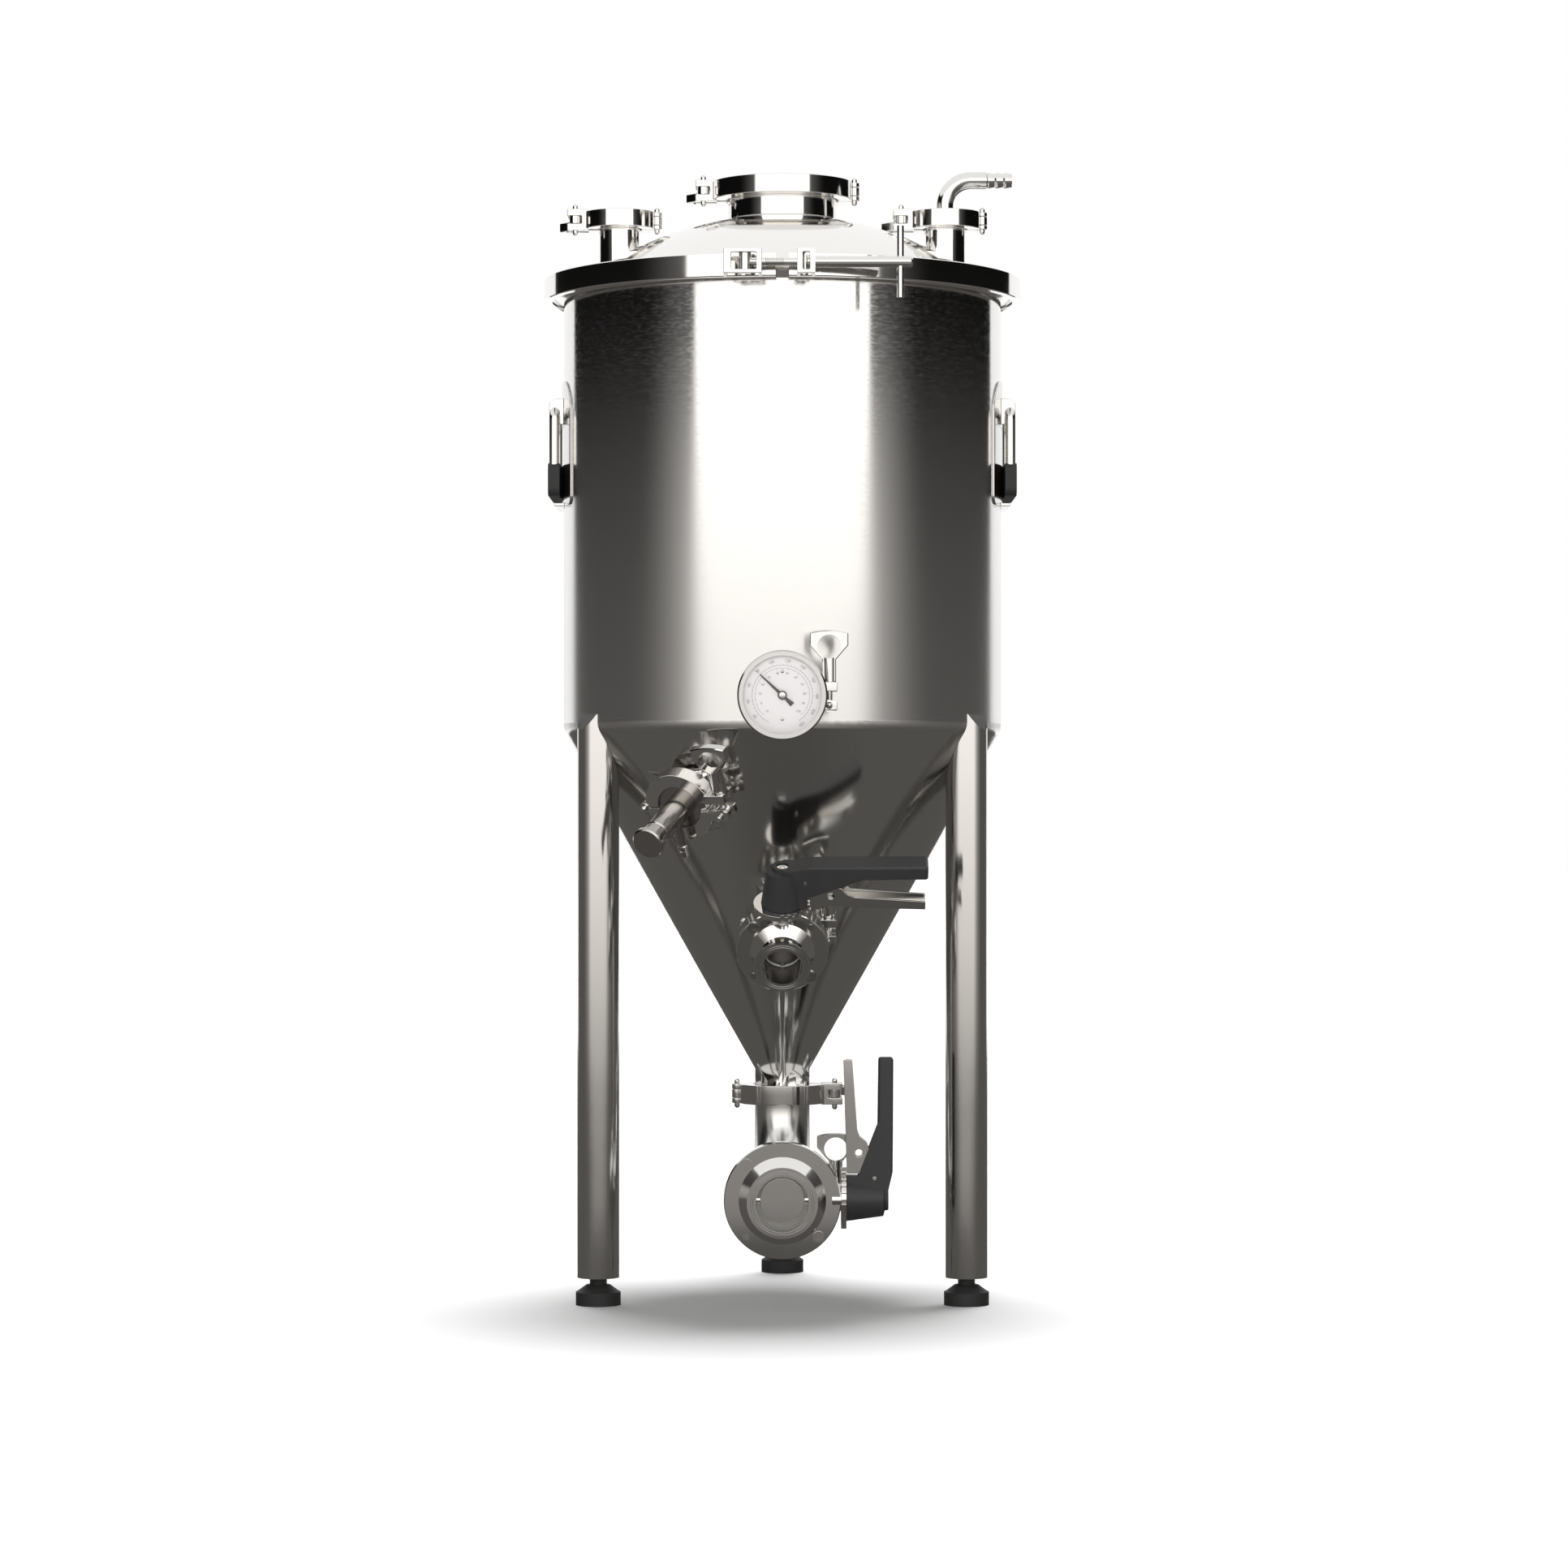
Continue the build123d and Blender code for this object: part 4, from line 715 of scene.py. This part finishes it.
# %% The two rivets that hold the face
RIVET_FROM_CENTRE, RIVET_R, RIVET_FLATNESS, RIVET_SUNK = 20.9 * MM, 1.7 * MM, 0.6, 0.2 * MM
rivets = []
for height in (RIVET_FROM_CENTRE, -RIVET_FROM_CENTRE):
    bpy.ops.mesh.primitive_uv_sphere_add(segments=24, ring_count=12, radius=RIVET_R)
    rivet = bpy.context.object
    bpy.ops.object.mode_set(mode="EDIT")
    bpy.ops.mesh.select_all(action="SELECT")
    bpy.ops.mesh.bisect(
        plane_co=(0, 0, -RIVET_SUNK), plane_no=(0, 0, 1), clear_inner=True, use_fill=True)
    bpy.ops.object.mode_set(mode="OBJECT")
    bpy.ops.object.shade_smooth_by_angle(angle=math.radians(40))
    rivet.data.transform(Matrix.Diagonal((1, 1, RIVET_FLATNESS, 1)))
    settle(rivet, dial_centre + UP * height)
    rivets.append(rivet)
joined(rivets, "dial_rivets", finishes["polished_steel"], "tank")

# %% [markdown]
# ## The pointer's cap
# A turned cap covers the hub that the pointer is pressed onto. It is a short cylinder whose rims
# are bevelled, so that they catch a line of light. It rides on the pointer and turns with it.

# %% The cap on the pointer's hub
CAP_R, CAP_THICK, CAP_BEVEL, CAP_PROUD = 2.9 * MM, 0.8 * MM, 0.3 * MM, 0.15 * MM
bpy.ops.mesh.primitive_cylinder_add(vertices=48, radius=CAP_R, depth=CAP_THICK)
cap = bpy.context.object
bpy.ops.object.mode_set(mode="EDIT")
bpy.ops.mesh.select_all(action="SELECT")
bpy.ops.mesh.bevel(offset=CAP_BEVEL, segments=3)
bpy.ops.object.mode_set(mode="OBJECT")
bpy.ops.object.shade_smooth_by_angle(angle=math.radians(50))
settle(cap, Vector((0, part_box("thermometer_pointer")[0].y - CAP_PROUD, dial_centre.z)))
joined([cap], "pointer_cap", finishes["satin_steel"], "thermometer_pointer")


# %% [markdown]
# ## Threads
# A swing bolt, the band's tension bolt and the levelling feet all carry a screw thread. The Screw
# modifier draws one from a single small triangle: it turns the triangle about an axis and lifts it
# by the pitch each turn. The open ends are closed afterwards, and the ridge sits on the plain CAD
# rod, just proud of it.

# %% Threads from the Screw modifier
RIDGE, RIDGE_START, TURN_STEPS = 0.42, 0.4, 20  # the first two in parts of the pitch


def thread(radius, pitch, low, high):
    """A thread's ridge round Z from low to high."""
    bpy.ops.mesh.primitive_circle_add(vertices=3, radius=pitch * RIDGE, fill_type="NOTHING")
    ridge = bpy.context.object
    stand = Matrix.Rotation(math.pi / 2, 4, "X") @ Matrix.Rotation(-math.pi / 2, 4, "Z")
    ridge.data.transform(Matrix.Translation((radius, 0, low + pitch * RIDGE_START)) @ stand)
    coil = ridge.modifiers.new("coil", "SCREW")
    coil.axis, coil.angle, coil.screw_offset = "Z", math.tau, pitch
    coil.iterations = max(1, int((high - low - pitch * 2 * RIDGE_START) / pitch))
    coil.steps = coil.render_steps = TURN_STEPS
    coil.use_merge_vertices = False
    bpy.ops.object.modifier_apply(modifier="coil")
    bpy.ops.object.mode_set(mode="EDIT")
    bpy.ops.mesh.select_all(action="SELECT")
    bpy.ops.mesh.remove_doubles(threshold=1e-7)
    bpy.ops.mesh.fill_holes(sides=4)
    bpy.ops.mesh.normals_make_consistent(inside=False)
    bpy.ops.object.mode_set(mode="OBJECT")
    bpy.ops.object.shade_smooth_by_angle(angle=math.radians(30))
    return ridge


def along(piece, start, direction):
    """Lay a piece made round Z onto another axis."""
    turn = UP.rotation_difference(direction).to_matrix().to_4x4()
    piece.data.transform(Matrix.Translation(start) @ turn)
    return piece


# %% [markdown]
# ## Threads of the levelling feet
# A foot screws into its leg, and a short length of the stem's thread shows between the two. It runs
# a little way up into the leg, so that no gap shows.

# %% The feet's threads
FOOT_STEM_R, FOOT_STEM_LOW, FOOT_PITCH, INTO_LEG = 7.8 * MM, 18.7 * MM, 1.5 * MM, 3 * MM
leg_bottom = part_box("leg_rear")[0].z
for foot in ("foot_front_left", "foot_front_right", "foot_rear"):
    centre = middle(foot)
    stem = thread(FOOT_STEM_R, FOOT_PITCH, FOOT_STEM_LOW, leg_bottom + INTO_LEG)
    stem.data.transform(Matrix.Translation((centre.x, centre.y, 0)))
    joined([stem], foot + "_thread", finishes["polished_steel"], foot)

# %% [markdown]
# ## Threads of the swing bolts
# A wing nut pulls a clamp's two halves together along a swing bolt, whose thread shows between the
# lugs. Each bolt lies along its nut's axis: the nut's lowest ring of points shows where its seat is,
# and the thread is laid from there.

# %% The swing bolts' threads
SWING_BOLT_R, SWING_PITCH, LUG_GAP = 3.0 * MM, 1.25 * MM, 4.2 * MM
NUT_SEAT = 12.8 * MM  # from the middle of the clamp to the wing nut's seat
nut_ways = {
    "wing_nut_thermometer": UP, "wing_nut_outlet": UP, "wing_nut_racking": up_slope(0),
    "wing_nut_sample": up_slope(SAMPLE_AZIMUTH)}


def seat_of(nut, way):
    """The middle of a nut's lowest points along its axis."""
    points = [vertex.co for vertex in nodes[nut].data.vertices]
    lowest = min(point.dot(way) for point in points)
    seat = [point for point in points if point.dot(way) < lowest + 0.01 * MM]
    return sum(seat, Vector()) / len(seat)


threads = []
for name in nodes:
    if name.startswith("wing_nut_"):
        way = nut_ways.get(name, BACK)
        piece = thread(SWING_BOLT_R, SWING_PITCH, -NUT_SEAT - LUG_GAP, -NUT_SEAT + LUG_GAP)
        threads.append(along(piece, seat_of(name, way), way))
joined(threads, "swing_bolt_threads", finishes["polished_steel"], "tank")

# %% [markdown]
# ## Thread of the lid band's bolt
# The bolt that tightens the V-band runs across the front, from the left bracket through the right
# one. Its thread shows between them.

# %% The band bolt's thread
BAND_BOLT_R, BAND_PITCH = 3.5 * MM, 1.5 * MM
BAND_THREAD_LEFT, BAND_THREAD_RIGHT = -16 * MM, 2 * MM
band_nut = middle("lid_band_nut")
band_thread = thread(BAND_BOLT_R, BAND_PITCH, BAND_THREAD_LEFT, BAND_THREAD_RIGHT)
along(band_thread, Vector((0, band_nut.y, band_nut.z)), RIGHT)
joined([band_thread], "lid_band_bolt_thread", finishes["polished_steel"], "tank")


# %% [markdown]
# ## Domed pin ends
# Each clamp has a hinge pin on one side and a pivot pin for its swing bolt on the other. Their ends
# are peened over into small domes. Half a ball stands on each end. A bevel on the pin would do too,
# but the pins are part of larger CAD pieces.

# %% Half a ball for a pin's end
PIN_R, PIVOT_HALF = 2.5 * MM, 12.2 * MM


def pin_dome(place, way):
    """Half a sphere that stands on a pin's end."""
    bpy.ops.mesh.primitive_uv_sphere_add(segments=20, ring_count=12, radius=PIN_R)
    dome = bpy.context.object
    cut_away(dome, lambda place: place.z < -0.001 * MM, 0)
    bpy.ops.object.shade_smooth_by_angle(angle=math.radians(60))
    return along(dome, place, way)


# %% [markdown]
# ## Where the clamps are
# A clamp's box is lopsided, because its lugs and wing nut stand out on one side, so its middle isn't
# the ring's. The rings' middles are listed instead. Those on the cone follow from where their port
# leaves the wall and how far out along it the clamp sits.

# %% Domes on every clamp's hinge pin and pivot pin
RING_1_5, RING_2, RING_4 = (33.0 * MM, 16 * MM), (40.5 * MM, 18 * MM), (65.5 * MM, 17 * MM)
SAMPLE_CLAMP_OUT, RACKING_CLAMP_OUT = 22 * MM, 26.5 * MM
BOLT_OFFSET, PIVOT_BACK = 8.2 * MM, 8.35 * MM  # from the ring's edge, and behind the bolt's side
HINGE_OFFSET, HINGE_BEYOND = 1.8 * MM, 2.2 * MM  # from the ring's edge, and past its width


def wall_clamp(degrees, height, stand_off):
    """Middle, bolt side and wing side of a clamp on the cone."""
    centre = cone_point(degrees, height) + out_of_slope(degrees) * stand_off
    return centre, UP.cross(around(degrees)), up_slope(degrees)


clamp_places = [
    ((Vector((-LID_PORT_X, 0, 1002 * MM)), -RIGHT, BACK), RING_1_5),
    ((Vector((LID_PORT_X, 0, 1002 * MM)), -RIGHT, BACK), RING_1_5),
    ((UP * 1029.2 * MM, -RIGHT, BACK), RING_4),
    ((FRONT * 226 * MM + UP * 551.6 * MM, RIGHT, UP), RING_1_5),
    (wall_clamp(SAMPLE_AZIMUTH, SAMPLE_Z, SAMPLE_CLAMP_OUT), RING_1_5),
    (wall_clamp(0, RACKING_Z, RACKING_CLAMP_OUT), RING_1_5),
    ((UP * 186.9 * MM, RIGHT, BACK), RING_2),
    ((FRONT * 88.9 * MM + UP * 98 * MM, RIGHT, UP), RING_2),
]
domes = []
for (centre, bolt_side, wing_side), (ring_r, width) in clamp_places:
    pin_way = bolt_side.cross(wing_side)
    pivot = centre + bolt_side * (ring_r + BOLT_OFFSET) - wing_side * PIVOT_BACK
    hinge = centre - bolt_side * (ring_r + HINGE_OFFSET)
    for pin, reach in ((pivot, PIVOT_HALF), (hinge, width / 2 + HINGE_BEYOND)):
        for way in (pin_way, -pin_way):
            domes.append(pin_dome(pin + way * reach, way))
joined(domes, "clamp_pin_domes", finishes["polished_steel"], "tank")


# %% [markdown]
# ## Weld beads
# Tubes are welded to the tank with a fine ripple, the frozen edge of each small puddle. A bead is a
# thin torus, half sunk in the joint, whose thickness swells and shrinks along its length. A noise on
# the bump would show no ripple on the outline.

# %% A rippled bead
BEAD_THICK, SWELL = 1.0 * MM, 0.16


def bead(radius, place, direction, ripples):
    """A rippled torus round a tube."""
    bpy.ops.mesh.primitive_torus_add(
        major_segments=ripples * 4, minor_segments=8, major_radius=radius, minor_radius=BEAD_THICK)
    ring = bpy.context.object
    for vertex in ring.data.vertices:
        turn = math.atan2(vertex.co.y, vertex.co.x)
        centre = Vector((math.cos(turn), math.sin(turn), 0)) * radius
        swell = 1 + SWELL * math.cos(turn * ripples)
        vertex.co = centre + (vertex.co - centre) * swell
    bpy.ops.object.shade_smooth_by_angle(angle=math.radians(60))
    return along(ring, place, direction)


# %% [markdown]
# ## Laying the beads
# A tube that enters a curved wall meets it along a line that isn't flat. Round the lid's ports each
# point of a bead is lifted onto the lid's sphere. Round the cone's ports each is pulled in as far as
# the cone falls away to the sides.

# %% Weld beads round the ports
TUBE_R, NECK_R, TUBE_RIPPLES, NECK_RIPPLES = 19.05 * MM, 50.8 * MM, 48, 110
DOME_R, DOME_EDGE_R, DOME_FOOT, LID_ABOVE_JOINT = 311 * MM, 191 * MM, 5.95 * MM, 1 * MM
lid_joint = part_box("lid_shell")[0].z - LID_ABOVE_JOINT
dome_centre = lid_joint + DOME_FOOT - math.sqrt(DOME_R ** 2 - DOME_EDGE_R ** 2)
welds = []
for across, radius, ripples in (
        (0, NECK_R, NECK_RIPPLES),
        (-LID_PORT_X, TUBE_R, TUBE_RIPPLES), (LID_PORT_X, TUBE_R, TUBE_RIPPLES)):
    ring = bead(radius, RIGHT * across, UP, ripples)
    for vertex in ring.data.vertices:
        far = math.hypot(vertex.co.x, vertex.co.y)
        vertex.co.z += dome_centre + math.sqrt(DOME_R ** 2 - far ** 2)
    welds.append(ring)
for degrees, height in ((0, RACKING_Z), (SAMPLE_AZIMUTH, SAMPLE_Z)):
    place, out, side = cone_point(degrees, height), out_of_slope(degrees), UP.cross(around(degrees))
    curve = 2 * cone_radius(height) / math.cos(CONE_TILT)
    ring = bead(TUBE_R, place, out, TUBE_RIPPLES)
    for vertex in ring.data.vertices:
        vertex.co -= out * (vertex.co - place).dot(side) ** 2 / curve
    welds.append(ring)
joined(welds, "weld_beads", finishes["satin_steel"], "tank")


# %% [markdown]
# ## Rings on the open ferrules
# A ferrule's face has a groove that centres the gasket. Two outlets have nothing clamped on, so
# their grooves show as a pair of fine rings. Each edge of the groove is a thin torus that lies half
# in the face.

# %% Edges of the gasket grooves on the two outlets
GROOVE_EDGE_R, RACKING_FACE_OUT = 0.28 * MM, 97.3 * MM
DUMP_GROOVE, RACKING_GROOVE = (26.6 * MM, 28.6 * MM), (20.4 * MM, 22.3 * MM)
dump_face = Vector((0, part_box("dump_valve_outer")[0].y, outlet_z))
racking_out = out_of_slope(0)
racking_face = racking_mouth + racking_out * RACKING_FACE_OUT
grooves = []
for place, way, radii in (
        (dump_face, FRONT, DUMP_GROOVE), (racking_face, racking_out, RACKING_GROOVE)):
    for radius in radii:
        bpy.ops.mesh.primitive_torus_add(
            major_segments=96, minor_segments=8, major_radius=radius, minor_radius=GROOVE_EDGE_R)
        bpy.ops.object.shade_smooth_by_angle(angle=math.radians(60))
        grooves.append(along(bpy.context.object, place, way))
joined(grooves, "ferrule_grooves", finishes["screw_steel"], "tank")


# %% [markdown]
# ## A white room
# Polished steel looks like what stands around it. The vessel stands in a white room. The camera and
# the reflections see pure white, but so much light from all sides would wash out every shadow, so
# all other light from the room is weak.

# %% White room
ROOM_LIGHT, ROOM_WHITE = 0.11, 1.0
view = bpy.context.scene.view_settings
view.view_transform = "Standard"


def shown_white(recipe, plain, white):
    """The white shader to the camera and in reflections, and the plain one for all other light."""
    rays = recipe.node("ShaderNodeLightPath").socket.node.outputs
    seen = Wire(recipe, rays["Is Camera Ray"]) + Wire(recipe, rays["Is Glossy Ray"])
    seen = seen + Wire(recipe, rays["Is Transmission Ray"])
    return recipe.node("ShaderNodeMixShader", inputs={0: seen, 1: plain, 2: white})


world = bpy.context.scene.world or bpy.data.worlds.new("studio")
bpy.context.scene.world = world
world.use_nodes = True
world.node_tree.nodes.clear()
air = Recipe(world.node_tree)
soft_light = air.node("ShaderNodeBackground", inputs={
    "Color": rgb(1, 1, 1), "Strength": ROOM_LIGHT})
white_wall = air.node("ShaderNodeBackground", inputs={
    "Color": rgb(1, 1, 1), "Strength": ROOM_WHITE})
surroundings = shown_white(air, soft_light, white_wall)
world_output = air.tree.nodes.new("ShaderNodeOutputWorld")
air.tree.links.new(surroundings.socket, world_output.inputs["Surface"])
print(world.name, "light", ROOM_LIGHT, "view", view.view_transform)

# %% [markdown]
# ## A floor that keeps the shadow
# The floor has to melt into the white room and still show a soft shadow. White paper alone comes
# out slightly grey, so it glows a little where the camera sees it. Making it glow for all light
# would lift the shadow as well.

# %% White floor
FLOOR_R, FLOOR_GLOW = 30, 0.06
bpy.ops.mesh.primitive_circle_add(vertices=96, radius=FLOOR_R, fill_type="NGON")
floor = bpy.context.object
floor.name = "floor"


def light_material(name, build):
    """A material whose surface is the shader that build returns."""
    made = bpy.data.materials.new(name)
    made.use_nodes = True
    made.node_tree.nodes.clear()
    recipe = Recipe(made.node_tree)
    surface = build(recipe)
    output = recipe.tree.nodes.new("ShaderNodeOutputMaterial")
    recipe.tree.links.new(surface.socket, output.inputs["Surface"])
    return made


def paper(recipe):
    """Matte white, helped by a little light of its own where the camera sees it."""
    matte = recipe.node("ShaderNodeBsdfDiffuse", inputs={"Color": rgb(0.94, 0.94, 0.94)})
    camera_ray = recipe.node("ShaderNodeLightPath", output="Is Camera Ray")
    lift = recipe.node("ShaderNodeEmission", inputs={
        "Color": rgb(1, 1, 1), "Strength": camera_ray * FLOOR_GLOW})
    return recipe.node("ShaderNodeAddShader", inputs={0: matte, 1: lift})


floor.data.materials.append(light_material("floor_paper", paper))
print(floor.name, "radius", FLOOR_R)


# %% [markdown]
# ## What the steel reflects
# In a studio, a bright soft box stands in front of a steel vessel and black flags at both sides.
# The bright and dark bands make a cylinder read as round. Here both are painted on one curved wall
# with maths, as real cards would need many pieces to get soft edges. A flag on the floor does the
# same for the cone, whose sides face down.

# %% Paint for the wall and the floor flag
WALL_DISTANCE, WALL_HEIGHT, WALL_REACH = 4.4, 3.2, 139  # the reach is in degrees to each side
SOFT_BOX_EDGE, WIDEST_SOFTNESS, FADE_BEYOND = 45, 26, 28  # in degrees from the front
BOX_STRENGTH, FLAG_STRENGTH = 1.62, 1.0
FLAG_INNER, FLAG_OUTER = 0.75, 1.1  # where the floor flag's dark middle ends and its strip begins
STRIP_FRONT, STRIP_SIDE = 8, 55  # in degrees from the front


def azimuth(recipe, x, y):
    """Degrees away from the front, the same on both sides."""
    across = recipe.node("ShaderNodeMath", {"operation": "ABSOLUTE"}, {0: x})
    angle = recipe.node("ShaderNodeMath", {"operation": "ARCTAN2"}, {0: across, 1: y * -1})
    return angle * (180 / math.pi)


def studio_paint(recipe):
    """A bright soft box in front whose edges are crisp high up and soft low down, between flags."""
    x, y, z = recipe.axes()
    angle, level = azimuth(recipe, x, y), z / WALL_HEIGHT
    softness = recipe.ramp(level, [(0.0, 0.95), (0.22, 0.8), (0.34, 0.25), (0.42, 0.08)])
    softness = softness * WIDEST_SOFTNESS
    start = SOFT_BOX_EDGE - softness * 0.5
    edge = smooth(recipe, angle, start, start + softness)
    fade = smooth(recipe, angle, start, start + softness + FADE_BEYOND)
    glow = recipe.ramp(level, [(0.22, 0.50), (0.34, 0.30), (0.41, 0.05)])
    bright = recipe.ramp(level, [
        (0.0, (0.40, 0.38, 0.36)), (0.10, (0.60, 0.58, 0.555)), (0.22, (0.80, 0.775, 0.75)),
        (0.34, (0.97, 0.95, 0.925))])
    dark = recipe.ramp(level, [
        (0.0, (0.105, 0.099, 0.093)), (0.20, (0.100, 0.096, 0.091)), (0.30, (0.078, 0.076, 0.072)),
        (0.35, (0.045, 0.044, 0.042)), (0.40, (0.010, 0.010, 0.0095)),
        (0.47, (0.004, 0.004, 0.004))])
    beside = recipe.blend(fade, recipe.blend(glow, dark, bright), dark)
    tone = recipe.blend(edge, bright, beside)
    strength = BOX_STRENGTH - fade * (BOX_STRENGTH - FLAG_STRENGTH)
    return recipe.node("ShaderNodeEmission", inputs={"Color": tone, "Strength": strength})


def floor_flag_paint(recipe):
    """Dark grey under the cone, with a lighter strip further out in front for the valves."""
    x, y, z = recipe.axes()
    beside = smooth(recipe, azimuth(recipe, x, y), STRIP_FRONT, STRIP_SIDE)
    near = smooth(recipe, (x * x + y * y) ** 0.5, FLAG_OUTER, FLAG_INNER)
    strip = recipe.blend(beside, rgb(0.27, 0.26, 0.25), rgb(0.105, 0.10, 0.095))
    under = recipe.blend(beside, rgb(0.085, 0.081, 0.077), rgb(0.105, 0.10, 0.095))
    tone = recipe.blend(near, strip, under)
    return recipe.node("ShaderNodeEmission", inputs={"Color": tone, "Strength": 1.0})


# %% [markdown]
# ## The wall and the floor flag
# The wall is a flat grid rolled round the vessel, open behind, and the flag is a disc that lies just
# above the floor. Only reflections see them: the camera looks through them and they cast no shadow.

# %% Studio wall and floor flag
FLAG_LIFT = 0.5 * MM


def hide_from_camera(thing):
    thing.visible_camera = False
    thing.visible_diffuse = False
    thing.visible_shadow = False
    thing.visible_transmission = False


bpy.ops.mesh.primitive_grid_add(x_subdivisions=96, y_subdivisions=8, size=1)
wall = bpy.context.object
wall.name = "studio_wall"
for vertex in wall.data.vertices:
    turn = math.radians(2 * WALL_REACH * vertex.co.x)
    height = WALL_HEIGHT * (vertex.co.y + 0.5)
    vertex.co = (WALL_DISTANCE * math.sin(turn), -WALL_DISTANCE * math.cos(turn), height)
wall.data.materials.append(light_material("studio_paint", studio_paint))

bpy.ops.mesh.primitive_circle_add(vertices=96, radius=WALL_DISTANCE, fill_type="NGON")
apron = bpy.context.object
apron.name = "floor_flag"
apron.data.transform(Matrix.Translation((0, 0, FLAG_LIFT)))
apron.data.materials.append(light_material("floor_flag_paint", floor_flag_paint))
for thing in (wall, apron):
    hide_from_camera(thing)
    print(thing.name, len(thing.data.polygons), "faces")


# %% [markdown]
# ## Lamps
# Two wide, distant lamps light what isn't mirror-like: one from above, slightly behind, which lays
# the soft shadow on the floor, and one from the front, which fills the plastic and the dial. The
# steel doesn't reflect them, so they add no spots to it. A sun lamp lights every height alike.

# %% Two lamps
SIDE_LEAN = 2


def lamp(name, energy, spread, lean):
    """A distant lamp; lean is its angle from straight above, towards the front."""
    bpy.ops.object.light_add(
        type="SUN", rotation=(math.radians(lean), math.radians(SIDE_LEAN), 0))
    made = bpy.context.object
    made.name = name
    made.data.energy = energy
    made.data.angle = math.radians(spread)
    made.visible_glossy = False
    print(name, "energy", energy)


lamp("lamp_above", energy=3.15, spread=22, lean=-12)
lamp("lamp_front", energy=2.7, spread=40, lean=86)
